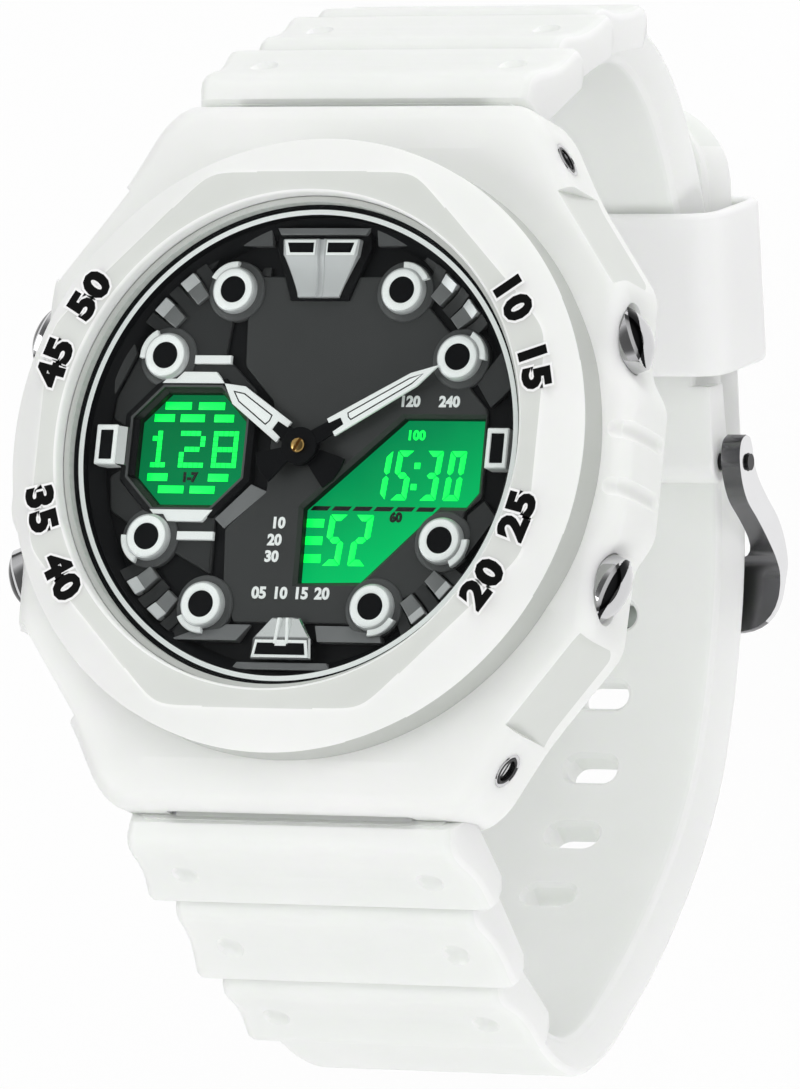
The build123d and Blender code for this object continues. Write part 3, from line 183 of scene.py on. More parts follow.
def filleted(outline: list[Point2], radius: float | list[float], steps: int = 4) -> list[Point2]:
    """Round the corners of a closed outline.

    Args:
        outline: the sharp corners.
        radius: how far each round reaches along its sides, one value or one a corner.
        steps: stretches in each round.

    Returns:
        The rounded outline.
    """
    reaches = radius if isinstance(radius, list) else [radius] * len(outline)
    result = []
    for number, point in enumerate(outline):
        corner = Vector(point)
        to_last = Vector(outline[number - 1]) - corner
        to_next = Vector(outline[(number + 1) % len(outline)]) - corner
        reach = min(reaches[number], 0.48 * to_last.length, 0.48 * to_next.length)
        start = corner + to_last.normalized() * reach
        end = corner + to_next.normalized() * reach
        for step in range(steps + 1):
            share = step / steps
            place = start * (1 - share) ** 2 + corner * 2 * share * (1 - share) + end * share**2
            result.append((place.x, place.y))
    return result


def inset(outline: list[Point2], distance: float) -> list[Point2]:
    """Move an anticlockwise outline inwards.

    Args:
        outline: the outline, anticlockwise.
        distance: how far each side moves.

    Returns:
        The smaller outline, with as many points.
    """
    result = []
    for number, (x, y) in enumerate(outline):
        before = outline[number - 1]
        after = outline[(number + 1) % len(outline)]
        first = Vector((before[1] - y, x - before[0]))
        second = Vector((y - after[1], after[0] - x))
        first = first.normalized() if first.length > 1e-9 else second.normalized()
        second = second.normalized() if second.length > 1e-9 else first
        middle = (first + second) / max(0.35, 1 + first.dot(second))
        result.append((x + middle.x * distance, y + middle.y * distance))
    return result


def smoothed(points: list[tuple[float, ...]], steps: int) -> list[tuple[float, ...]]:
    """A smooth curve through points.

    Args:
        points: what the curve passes through.
        steps: stretches between two of them.

    Returns:
        The curve's points, with both ends.
    """
    result = []
    for number in range(len(points) - 1):
        before, first = Vector(points[max(number - 1, 0)]), Vector(points[number])
        second, after = Vector(points[number + 1]), Vector(points[min(number + 2, len(points) - 1)])
        for step in range(steps):
            t = step / steps
            place = first * 2 + (second - before) * t
            place += (before * 2 - first * 5 + second * 4 - after) * t**2
            place += (first * 3 - before - second * 3 + after) * t**3
            result.append(tuple(place / 2))
    result.append(tuple(points[-1]))
    return result


def between(start: float, end: float, share: float) -> float:
    """A value part of the way from start to end."""
    return start + (end - start) * share


def face_outwards(build: bmesh.types.BMesh) -> None:
    """Turn every separate closed part of a mesh so that its faces look outwards."""
    waiting = set(build.faces)
    while waiting:
        first = waiting.pop()
        part, edge = [first], [first]
        while edge:
            for side in edge.pop().edges:
                for face in side.link_faces:
                    if face in waiting:
                        waiting.remove(face)
                        part.append(face)
                        edge.append(face)
        middle = part[0].calc_center_median()
        volume = 0.0
        for face in part:
            corners = [corner.co - middle for corner in face.verts]
            for second, third in zip(corners[1:], corners[2:]):
                volume += corners[0].dot(second.cross(third))
        if volume < 0:
            bmesh.ops.reverse_faces(build, faces=part)


@dataclass(frozen=True)
class Seat:
    """A place and three directions that a shape is built on."""

    origin: Point3 = (0.0, 0.0, 0.0)
    across: Point3 = (1.0, 0.0, 0.0)
    up: Point3 = (0.0, 1.0, 0.0)
    out: Point3 = (0.0, 0.0, 1.0)

    def at(self, x: float, y: float, z: float) -> Point3:
        """The place of a point that is given on this seat."""
        return tuple(
            self.origin[i] + x * self.across[i] + y * self.up[i] + z * self.out[i]
            for i in range(3)
        )

    def ring(self, outline: list[Point2], height: float) -> list[Point3]:
        """An outline at a height over this seat."""
        return [self.at(x, y, height) for x, y in outline]

    def turned(self, angle: float) -> "Seat":
        """The same seat, turned anticlockwise about its outward direction."""
        c, s = cos(radians(angle)), sin(radians(angle))
        across = tuple(c * self.across[i] + s * self.up[i] for i in range(3))
        up = tuple(c * self.up[i] - s * self.across[i] for i in range(3))
        return Seat(self.origin, across, up, self.out)


FLAT = Seat()
SIDE_ON = Seat(across=(0.0, 1.0, 0.0), up=(0.0, 0.0, 1.0), out=(1.0, 0.0, 0.0))
FRONT_ON = Seat(up=(0.0, 0.0, 1.0), out=(0.0, -1.0, 0.0))


def pusher_seat(corner: tuple[int, int]) -> Seat:
    """The seat of the pusher in a corner, facing out along its travel."""
    c = corner[0] * cos(radians(PUSHER_ANGLE))
    s = corner[1] * sin(radians(PUSHER_ANGLE))
    return Seat((0.0, 0.0, PUSHER_HEIGHT), (-s, c, 0.0), (0.0, 0.0, 1.0), (c, s, 0.0))


class Shape:
    """Points and faces, gathered before they become one mesh."""

    def __init__(self) -> None:
        """Start with nothing."""
        self.points: list[Point3] = []
        self.faces: list[tuple[int, ...]] = []

    def loft(self, rings: list[list[Point3]], loop: bool = False) -> "Shape":
        """Join rings of as many points each into a closed skin.

        Args:
            rings: the rings in order.
            loop: whether the last ring is joined to the first one, or both get a face.

        Returns:
            This shape.
        """
        start = len(self.points)
        size = len(rings[0])
        for ring in rings:
            self.points.extend(ring)
        pairs = len(rings) if loop else len(rings) - 1
        for number in range(pairs):
            low = start + number * size
            high = start + (number + 1) % len(rings) * size
            for step in range(size):
                after = (step + 1) % size
                self.faces.append((low + step, low + after, high + after, high + step))
        if not loop:
            self.faces.append(tuple(start + step for step in reversed(range(size))))
            last = start + (len(rings) - 1) * size
            self.faces.append(tuple(last + step for step in range(size)))
        return self

    def slab(
        self,
        outline: list[Point2],
        low: float,
        high: float,
        edge: float = 0.1,
        base_edge: float = 0.0,
        seat: Seat = FLAT,
        steps: int = 3,
    ) -> "Shape":
        """A plate with a rounded upper edge.

        Args:
            outline: the plate's outline.
            low: height of its underside.
            high: height of its upper face.
            edge: radius of the upper edge.
            base_edge: radius of the lower edge.
            seat: what the heights are measured from.
            steps: stretches in a rounded edge.

        Returns:
            This shape.
        """
        outline = anticlockwise(outline)
        rings = []
        if base_edge > 0:
            for draw, rise in rounding(base_edge, steps)[:-1]:
                rings.append(seat.ring(inset(outline, draw), low + rise))
        rings.append(seat.ring(outline, low + base_edge))
        if edge > 0:
            for step in range(steps + 1):
                turn = pi / 2 * step / steps
                ring = inset(outline, edge * (1 - cos(turn)))
                rings.append(seat.ring(ring, high - edge + edge * sin(turn)))
        else:
            rings.append(seat.ring(outline, high))
        return self.loft(rings)

    def spun(self, profile: list[Point2], steps: int = 96, seat: Seat = FLAT) -> "Shape":
        """Turn a closed profile of radius and height about the seat's outward direction."""
        rings = [[seat.at(r * x, r * y, z) for r, z in profile] for x, y in circle(1.0, steps)]
        return self.loft(rings, loop=True)

    def tube(self, path: list[Point3], radius: float, steps: int = 16) -> "Shape":
        """A round bar along a path, with half-round ends."""
        points = [Vector(p) for p in path]
        first_way = (points[1] - points[0]).normalized()
        side = first_way.orthogonal().normalized()
        rings = []
        for number, point in enumerate(points):
            way = points[min(number + 1, len(points) - 1)] - points[max(number - 1, 0)]
            way.normalize()
            side = (side - way * side.dot(way)).normalized()
            other = way.cross(side)
            stations = [(0.0, 1.0)]
            if number == 0:
                stations = [(-cos(turn), sin(turn)) for turn in CAP_TURNS]
            if number == len(points) - 1:
                stations = [(cos(turn), sin(turn)) for turn in reversed(CAP_TURNS)]
            for forward, wide in stations:
                middle = point + way * radius * forward
                rings.append([
                    tuple(middle + (side * c + other * s) * radius * wide)
                    for c, s in circle(1.0, steps)
                ])
        return self.loft(rings)

    def ball(self, centre: Point3, radius: float, steps: int = 20) -> "Shape":
        """A round ball."""
        seat = Seat(centre)
        rings = []
        for number in range(steps + 1):
            turn = pi * between(0.02, 0.98, number / steps)
            rings.append(seat.ring(circle(radius * sin(turn), 2 * steps), -radius * cos(turn)))
        return self.loft(rings)

    def joined(self, other: "Shape") -> "Shape":
        """Take in another shape's points and faces."""
        start = len(self.points)
        self.points.extend(other.points)
        self.faces.extend(tuple(start + n for n in face) for face in other.faces)
        return self


class Value:
    """A socket that shader sums are written with."""

    def __init__(self, tree: bpy.types.NodeTree, socket: bpy.types.NodeSocket) -> None:
        """Keep the tree and the socket."""
        self.tree = tree
        self.socket = socket

    def _math(self, kind: str, first: "Value | float", second: "Value | float") -> "Value":
        """Add one Math node."""
        node = self.tree.nodes.new("ShaderNodeMath")
        node.operation = kind
        for slot, item in zip(node.inputs, (first, second)):
            if isinstance(item, Value):
                self.tree.links.new(item.socket, slot)
            else:
                slot.default_value = item
        return Value(self.tree, node.outputs[0])

    def __add__(self, other: "Value | float") -> "Value":
        """The sum."""
        return self._math("ADD", self, other)

    def __mul__(self, other: "Value | float") -> "Value":
        """The product."""
        return self._math("MULTIPLY", self, other)

    def __sub__(self, other: "Value | float") -> "Value":
        """The difference."""
        return self._math("SUBTRACT", self, other)

    def least(self, other: "Value | float") -> "Value":
        """The smaller of two."""
        return self._math("MINIMUM", self, other)

    def most(self, other: "Value | float") -> "Value":
        """The larger of two."""
        return self._math("MAXIMUM", self, other)


class Board:
    """The node tree of a material or of the sky, with one way to add any node."""

    def __init__(self, owner: bpy.types.Material | bpy.types.World) -> None:
        """Start with an empty tree."""
        owner.use_nodes = True
        self.owner = owner
        self.tree = owner.node_tree
        self.tree.nodes.clear()

    def add(self, kind: str, settings: dict | None = None, **inputs: object) -> bpy.types.Node:
        """Add a node.

        Args:
            kind: the node's type without its common first words.
            settings: its own settings, set before its sockets.
            inputs: values or links of its sockets, by name with _ for a space.

        Returns:
            The node.
        """
        node = self.tree.nodes.new("ShaderNode" + kind)
        for name, value in (settings or {}).items():
            if name == "stops":
                for number, (place, colour) in enumerate(value):
                    ramp = node.color_ramp.elements
                    stop = ramp[number] if number < len(ramp) else ramp.new(place)
                    stop.position = place
                    stop.color = (*colour, 1.0)
            else:
                setattr(node, name, value)
        for name, value in inputs.items():
            slot = node.inputs[name.replace("_", " ")]
            if isinstance(value, Value):
                self.tree.links.new(value.socket, slot)
            elif isinstance(value, bpy.types.NodeSocket):
                self.tree.links.new(value, slot)
            else:
                slot.default_value = value
        return node

    def value(self, socket: bpy.types.NodeSocket) -> Value:
        """Wrap a socket for sums."""
        return Value(self.tree, socket)

    def mixed(
        self, share: Value | bpy.types.NodeSocket, first: bpy.types.Node, second: bpy.types.Node
    ) -> bpy.types.NodeSocket:
        """Mix two shaders, the second one by its share."""
        mix = self.add("MixShader", Fac=share)
        self.tree.links.new(first.outputs[0], mix.inputs[1])
        self.tree.links.new(second.outputs[0], mix.inputs[2])
        return mix.outputs[0]


@dataclass(frozen=True)
class Finish:
    """A surface: its colours, gloss and grain.

    The mottle runs slowly from colour to shade, and the grain is a fine relief in millimetres.
    A finish without a slot of its own name shares the slot of a related one.
    """

    colour: Colour
    shade: Colour
    roughness: float
    metallic: float = 0.0
    swing: float = 0.06
    mottle_size: float = 5.0
    grain: Grain = Grain.NONE
    grain_size: float = 0.25
    grain_height: float = 0.01
    subsurface: float = 0.0
    reach: float = 1.5
    skin_radius: Colour = (1.0, 1.05, 0.95)
    coat: float = 0.0
    coat_roughness: float = 0.08
    specular: float = 0.5
    glow: float = 0.0
    scuff_size: float = 0.8
    brush_stretch: Colour = (1.0, 24.0, 24.0)
    slot: str = ""

    def material(self, name: str) -> bpy.types.Material:
        """Build the material, which reads Object coordinates.

        Args:
            name: the material's name.

        Returns:
            The node material.
        """
        board = Board(bpy.data.materials.new(name))
        place = board.add("TexCoord").outputs["Object"]
        mottle = board.add(
            "TexNoise", Vector=place, Scale=1 / (self.mottle_size * MM), Detail=3.0, Roughness=0.55
        )
        tint = board.add("Mix", {"data_type": "RGBA"}, Factor=mottle.outputs["Fac"])
        for number, colour in ((6, self.colour), (7, self.shade)):
            tint.inputs[number].default_value = (*colour, 1.0)
        scuff = board.add("TexNoise", Vector=place, Scale=1 / (self.scuff_size * MM), Detail=4.0)
        gloss = board.value(scuff.outputs["Fac"]) * self.swing + (self.roughness - self.swing / 2)
        more = {}
        if self.subsurface > 0:
            more["Subsurface_Weight"] = self.subsurface
            more["Subsurface_Radius"] = self.skin_radius
            more["Subsurface_Scale"] = self.reach * MM
        if self.glow > 0:
            more["Emission_Color"] = tint.outputs[2]
            more["Emission_Strength"] = self.glow
        if self.grain is not Grain.NONE:
            more["Normal"] = self._relief(board, place)
        shader = board.add(
            "BsdfPrincipled",
            Base_Color=tint.outputs[2],
            Roughness=gloss,
            Metallic=self.metallic,
            Specular_IOR_Level=self.specular,
            Coat_Weight=self.coat,
            Coat_Roughness=self.coat_roughness,
            **more,
        )
        board.add("OutputMaterial", Surface=shader.outputs[0])
        return board.owner

    def _relief(self, board: Board, place: bpy.types.NodeSocket) -> bpy.types.NodeSocket:
        """The surface directions of the fine relief."""
        brushed = self.grain is Grain.BRUSHED
        stretch = self.brush_stretch if brushed else (1.0, 1.0, 1.0)
        mapped = board.add("Mapping", Vector=place, Scale=stretch)
        noise = board.add(
            "TexNoise", Vector=mapped.outputs[0], Scale=1 / (self.grain_size * MM),
            Detail=2.0 if brushed else 5.0,
        )
        bump = board.add(
            "Bump", Height=noise.outputs["Fac"], Strength=1.0, Distance=self.grain_height * MM
        )
        return bump.outputs[0]


@dataclass(frozen=True)
class ScreenFinish:
    """A lit screen, darker at its upper left and brighter towards its lower right."""

    dark: Colour = (0.002, 0.17, 0.052)
    middle: Colour = (0.001, 0.26, 0.083)
    bright: Colour = (0.0, 0.64, 0.15)
    reach: float = 19.0
    middle_place: float = 0.45
    slope: float = 0.45
    start: float = 0.33
    cloud_size: float = 3.0
    cloud_share: float = 0.12
    slot: str = ""

    def material(self, name: str) -> bpy.types.Material:
        """Build the material, whose glow runs across the dial.

        Args:
            name: the material's name.

        Returns:
            The node material.
        """
        board = Board(bpy.data.materials.new(name))
        place = board.add("TexCoord").outputs["Object"]
        parts = board.add("SeparateXYZ", Vector=place)
        x, y = board.value(parts.outputs[0]), board.value(parts.outputs[1])
        across = (x * self.slope - y) * (1 / (self.reach * MM)) + self.start
        cloud = board.add("TexNoise", Vector=place, Scale=1 / (self.cloud_size * MM), Detail=2.0)
        share = across + (board.value(cloud.outputs["Fac"]) - 0.5) * self.cloud_share
        ramp = board.add(
            "ValToRGB",
            {"stops": [(0.0, self.dark), (self.middle_place, self.middle), (1.0, self.bright)]},
            Fac=share.most(0.0).least(1.0),
        )
        shader = board.add(
            "BsdfPrincipled", Base_Color=(0.0, 0.012, 0.004, 1.0), Roughness=0.4,
            Specular_IOR_Level=0.06, Emission_Color=ramp.outputs[0], Emission_Strength=1.0,
        )
        board.add("OutputMaterial", Surface=shader.outputs[0])
        return board.owner


@dataclass(frozen=True)
class GlassFinish:
    """Clear thin glass: mostly see-through, with a little gloss."""

    gloss_share: float = 0.008
    film_share: float = 0.004
    film_size: float = 7.0
    tint: Colour = (0.97, 0.985, 0.98)
    roughness: float = 0.03
    slot: str = ""

    def material(self, name: str) -> bpy.types.Material:
        """Build the material, a mix of see-through and gloss.

        Args:
            name: the material's name.

        Returns:
            The node material.
        """
        board = Board(bpy.data.materials.new(name))
        clear = board.add("BsdfTransparent", Color=(*self.tint, 1.0))
        gloss = board.add(
            "BsdfPrincipled", Base_Color=(0.9, 0.92, 0.92, 1.0), Metallic=1.0,
            Roughness=self.roughness,
        )
        place = board.add("TexCoord").outputs["Object"]
        film = board.add("TexNoise", Vector=place, Scale=1 / (self.film_size * MM), Detail=2.0)
        share = board.value(film.outputs["Fac"]) * self.film_share
        share += self.gloss_share - self.film_share / 2
        board.add("OutputMaterial", Surface=board.mixed(share, clear, gloss))
        return board.owner


FROSTED = dict(
    roughness=0.42,
    swing=0.1,
    mottle_size=9.0,
    grain=Grain.FINE,
    grain_size=0.16,
    grain_height=0.004,
    subsurface=0.6,
    reach=1.0,
    specular=0.45,
)

FINISHES: dict[str, Finish | ScreenFinish | GlassFinish] = {
    "bezel_resin": Finish((0.86, 0.88, 0.855), (0.945, 0.95, 0.935), **FROSTED),
    # Darker copies of the bezel resin: painted shade on the ring's top, facets and wall.
    "bezel_flat_painted_shade": Finish(
        (0.655, 0.675, 0.645), (0.745, 0.76, 0.735), **FROSTED, slot="bezel_resin"
    ),
    "bezel_facet_painted_shade": Finish((0.70, 0.72, 0.69), (0.77, 0.785, 0.76), **FROSTED, slot="bezel_resin"),
    "bezel_wall_painted_shade": Finish((0.48, 0.5, 0.47), (0.57, 0.585, 0.56), **FROSTED, slot="bezel_resin"),
    "strap_rubber": Finish((0.86, 0.885, 0.855), (0.93, 0.945, 0.925), **FROSTED),
    # Strap rubber copies: painted light on the inner face, painted highlight on the sides.
    "strap_inner_painted_light": Finish(
        (0.865, 0.885, 0.86), (0.93, 0.945, 0.925), **FROSTED, slot="strap_rubber"
    ),
    "strap_edge_painted_highlight": Finish(
        (0.93, 0.945, 0.925), (0.97, 0.975, 0.965), **FROSTED, slot="strap_rubber"
    ),
    # A lighter copy of the strap rubber: painted light on the keeper.
    "keeper_painted_light": Finish(
        (0.93, 0.94, 0.925), (0.97, 0.975, 0.965), **FROSTED, slot="strap_rubber"
    ),
    "case_resin": Finish((0.62, 0.65, 0.63), (0.7, 0.72, 0.7), 0.4, subsurface=0.4, reach=1.5),
    "black_rubber": Finish((0.2, 0.205, 0.2), (0.27, 0.275, 0.27), 0.5),
    "gasket_grey": Finish((0.5, 0.51, 0.49), (0.6, 0.61, 0.59), 0.45, slot="black_rubber"),
    "flange_black": Finish((0.004, 0.004, 0.005), (0.007, 0.007, 0.008), 0.35, specular=0.08),
    "dial_grey": Finish(
        (0.036, 0.036, 0.037), (0.048, 0.048, 0.049), 0.5, specular=0.3, grain=Grain.FINE,
        grain_size=0.07, grain_height=0.003, mottle_size=7.0
    ),
    "dial_block": Finish(
        (0.022, 0.022, 0.023), (0.031, 0.031, 0.032), 0.5, specular=0.3, grain=Grain.FINE,
        grain_size=0.07, grain_height=0.003, slot="dial_grey"
    ),
    "dial_dark": Finish(
        (0.005, 0.005, 0.006), (0.009, 0.009, 0.01), 0.45, specular=0.12, slot="dial_grey"
    ),
    # A lighter, slightly metallic copy of the dial grey: partly a silver facet finish, partly
    # painted highlight.
    "dial_silver_and_highlight": Finish(
        (0.13, 0.13, 0.135), (0.22, 0.22, 0.225), 0.4, metallic=0.2, grain=Grain.FINE,
        grain_size=0.09, grain_height=0.004, slot="dial_grey"
    ),
    "dial_middle": Finish(
        (0.06, 0.06, 0.062), (0.09, 0.09, 0.092), 0.45, specular=0.3, slot="dial_grey"
    ),
    "marker_chrome": Finish((0.8, 0.8, 0.81), (0.9, 0.9, 0.9), 0.16, metallic=1.0),
    "marker_satin": Finish((0.93, 0.93, 0.93), (0.98, 0.98, 0.98), 0.28, slot="marker_chrome"),
    "marker_silver": Finish(
        (0.56, 0.56, 0.57), (0.7, 0.7, 0.71), 0.3, metallic=0.35, slot="marker_chrome"
    ),
    "marker_grey": Finish(
        (0.2, 0.2, 0.205), (0.3, 0.3, 0.305), 0.34, metallic=0.6, slot="marker_chrome"
    ),
    "lamp_green": Finish((0.0, 0.95, 0.075), (0.0, 1.0, 0.095), 0.4, glow=1.0, slot="lcd_green"),
    "screen_ink": Finish((0.002, 0.004, 0.003), (0.004, 0.006, 0.005), 0.5, slot="lcd_green"),
    "light_sheet": Finish((0.7, 0.74, 0.68), (0.78, 0.8, 0.74), 0.5),
    "hand_white": Finish((0.86, 0.86, 0.86), (0.93, 0.93, 0.93), 0.34),
    "hand_black": Finish(
        (0.003, 0.003, 0.004), (0.006, 0.006, 0.007), 0.4, specular=0.1, slot="hand_white"
    ),
    "gear_brass": Finish((0.55, 0.33, 0.11), (0.68, 0.43, 0.16), 0.22, metallic=1.0),
    "module_plastic": Finish((0.05, 0.052, 0.055), (0.08, 0.08, 0.085), 0.45),
    "board_green": Finish((0.02, 0.13, 0.05), (0.03, 0.18, 0.07), 0.35, coat=0.4),
    "bright_steel": Finish((0.62, 0.62, 0.63), (0.74, 0.74, 0.74), 0.2, metallic=1.0),
    "coil_copper": Finish(
        (0.55, 0.2, 0.07), (0.72, 0.3, 0.12), 0.28, metallic=1.0, grain=Grain.BRUSHED,
        grain_size=1.6, grain_height=0.02
    ),
    "buzzer_brass": Finish((0.6, 0.42, 0.18), (0.72, 0.52, 0.25), 0.3, metallic=1.0),
    "strip_rubber": Finish((0.55, 0.25, 0.28), (0.7, 0.36, 0.38), 0.6),
    "back_steel": Finish(
        (0.5, 0.5, 0.51), (0.6, 0.6, 0.61), 0.3, metallic=1.0, grain=Grain.BRUSHED,
        grain_size=2.4, grain_height=0.006
    ),
    "screw_steel": Finish((0.6, 0.6, 0.61), (0.75, 0.75, 0.75), 0.12, metallic=1.0),
    "pusher_chrome": Finish((0.6, 0.6, 0.61), (0.68, 0.68, 0.69), 0.06, metallic=1.0, swing=0.03),
    "buckle_steel": Finish(
        (0.13, 0.13, 0.135), (0.22, 0.22, 0.225), 0.2, metallic=1.0, swing=0.04
    ),
    # A much lighter copy of the buckle steel: painted highlight on the side faces.
    "buckle_side_painted_highlight": Finish(
        (0.72, 0.72, 0.73), (0.84, 0.84, 0.85), 0.13, metallic=1.0, swing=0.04,
        slot="buckle_steel"
    ),
    "prong_steel": Finish(
        (0.5, 0.55, 0.51), (0.62, 0.66, 0.63), 0.42, metallic=0.35, slot="buckle_steel"
    ),
    # A near-black copy of the chrome: painted dark reflection on the pusher faces.
    "pusher_painted_dark_reflection": Finish(
        (0.012, 0.012, 0.013), (0.02, 0.02, 0.021), 0.08, metallic=1.0, slot="screw_steel"
    ),
    "pin_dark": Finish(
        (0.02, 0.02, 0.021), (0.05, 0.05, 0.052), 0.3, metallic=1.0, slot="screw_steel"
    ),
    "print_black": Finish(
        (0.003, 0.003, 0.003), (0.005, 0.005, 0.005), 0.5, specular=0.08, slot="bezel_resin"
    ),
    "print_white": Finish((0.9, 0.9, 0.9), (0.95, 0.95, 0.95), 0.45, slot="bezel_resin"),
    "lcd_green": ScreenFinish(),
    "crystal_glass": GlassFinish(),
}


def placed(name: str, data: bpy.types.ID) -> bpy.types.Object:
    """A new object with its data, linked to the scene."""
    made = bpy.data.objects.new(name, data)
    bpy.context.scene.collection.objects.link(made)
    return made


def evaluated_mesh(made: bpy.types.Object) -> bpy.types.Mesh:
    """What an object looks like once its modifiers have run, as plain mesh."""
    bpy.context.view_layer.update()
    graph = bpy.context.evaluated_depsgraph_get()
    return bpy.data.meshes.new_from_object(made.evaluated_get(graph))


class Workshop:
    """Turns shapes into finished pieces and keeps the finishes."""

    def __init__(self) -> None:
        """Build every finish once."""
        self.materials = {name: finish.material(name) for name, finish in FINISHES.items()}
        self.slots = {name: finish.slot or name for name, finish in FINISHES.items()}

    def rough(self, name: str, shape: Shape) -> bpy.types.Object:
        """A plain mesh object from a shape, with its faces turned outwards.

        Args:
            name: the object's name.
            shape: its points and faces in millimetres.

        Returns:
            The object, linked to the scene.
        """
        mesh = bpy.data.meshes.new(name)
        points = [tuple(c * MM for c in p) for p in shape.points]
        mesh.from_pydata(points, [], shape.faces)
        build = bmesh.new()
        build.from_mesh(mesh)
        bmesh.ops.remove_doubles(build, verts=build.verts, dist=SAME_PLACE * MM)
        bmesh.ops.dissolve_degenerate(build, edges=build.edges, dist=THIN_EDGE * MM)
        loose = [edge for edge in build.edges if not edge.link_faces]
        bmesh.ops.delete(build, geom=loose, context="EDGES")
        bmesh.ops.recalc_face_normals(build, faces=build.faces)
        face_outwards(build)
        build.to_mesh(mesh)
        build.free()
        return placed(name, mesh)

    def evaluated(self, made: bpy.types.Object) -> None:
        """Turn an object's modifiers into plain mesh."""
        mesh = evaluated_mesh(made)
        made.modifiers.clear()
        made.data = mesh

    def combine(self, made: bpy.types.Object, tools: list[Shape], how: Cut) -> None:
        """Join shapes to an object or carve them out of it.

        Args:
            made: the object that changes.
            tools: closed shapes, each used in turn.
            how: what they do.
        """
        for shape in tools:
            tool = self.rough("tool", shape)
            change = made.modifiers.new("change", "BOOLEAN")
            change.operation = how.value
            change.solver = "EXACT"
            change.object = tool
            self.evaluated(made)
            bpy.data.objects.remove(tool)

    def soften(
        self, made: bpy.types.Object, width: float, segments: int, angle: float = 30.0
    ) -> None:
        """Round the edges of an object that are sharper than an angle."""
        change = made.modifiers.new("soften", "BEVEL")
        change.width = width * MM
        change.segments = segments
        change.limit_method = "ANGLE"
        change.angle_limit = radians(angle)
        self.evaluated(made)

    def finish(
        self,
        made: bpy.types.Object,
        finish: str,
        body: str | None = "case",
        nodes: tuple[str, ...] = (),
        sharp: float = SHARP_ANGLE,
    ) -> bpy.types.Object:
        """Smooth, dress and seat a piece.

        Args:
            made: the object.
            finish: the name of its finish.
            body: the body that it rides on, or None to leave it unattached.
            nodes: the frame's nodes that it stands for.
            sharp: the angle from which an edge stays sharp.

        Returns:
            The object.
        """
        made.data.shade_smooth()
        made.data.set_sharp_from_angle(angle=radians(sharp))
        weigh = made.modifiers.new("weigh", "WEIGHTED_NORMAL")
        weigh.keep_sharp = True
        weigh.weight = SMOOTH_WEIGHT
        self.evaluated(made)
        made.data.materials.clear()
        made.data.materials.append(self.materials[finish])
        if nodes:
            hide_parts(*nodes)
        if body:
            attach(made, body)
        log.info("%s: %d faces, %s", made.name, len(made.data.polygons), finish)
        return made

    def add_painted_shading(self, made: bpy.types.Object, *finishes: str) -> None:
        """Add lighter or darker material copies: painted light, shade and reflection on chosen
        faces.
        """
        for finish in finishes:
            made.data.materials.append(self.materials[finish])

    def piece(
        self,
        name: str,
        shape: Shape,
        finish: str,
        body: str | None = "case",
        nodes: tuple[str, ...] = (),
        sharp: float = SHARP_ANGLE,
    ) -> bpy.types.Object:
        """Make a finished piece straight from a shape."""
        return self.finish(self.rough(name, shape), finish, body, nodes, sharp)

    def dress(self, node: str, finish: str) -> None:
        """Give one of the frame's own nodes a finish."""
        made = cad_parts[node]
        made.data.materials.clear()
        made.data.materials.append(self.materials[finish])

    def lettering(
        self, text: str, height: float, seat: Seat, thick: float, fatten: float = 0.0,
        wide: float = 1.0,
    ) -> Shape:
        """Plain figures as a thin raised plate.

        Args:
            text: the figures.
            height: how tall a figure is.
            seat: the middle of the writing, its X along the writing.
            thick: how far the figures stand up.
            fatten: how far each stroke is widened.
            wide: how much wider than usual the figures are.

        Returns:
            The shape of the figures.
        """
        curve = bpy.data.curves.new("figures", "FONT")
        curve.body = text
        curve.align_x = "CENTER"
        curve.align_y = "CENTER"
        curve.offset = fatten / height * TEXT_FATTEN
        curve.resolution_u = 3
        made = placed("figures", curve)
        mesh = evaluated_mesh(made)
        bpy.data.objects.remove(made)
        build = bmesh.new()
        build.from_mesh(mesh)
        bmesh.ops.remove_doubles(build, verts=build.verts, dist=1e-5)
        grown = bmesh.ops.extrude_face_region(build, geom=build.faces[:])
        for item in grown["geom"]:
            if isinstance(item, bmesh.types.BMVert):
                item.co.z += 1.0
        build.verts.index_update()
        scale = height / TEXT_HEIGHT
        shape = Shape()
        for vertex in build.verts:
            x, y, z = vertex.co
            shape.points.append(seat.at(x * scale * wide, y * scale, z * thick))
        shape.faces = [tuple(v.index for v in face.verts) for face in build.faces]
        build.free()
        return shape


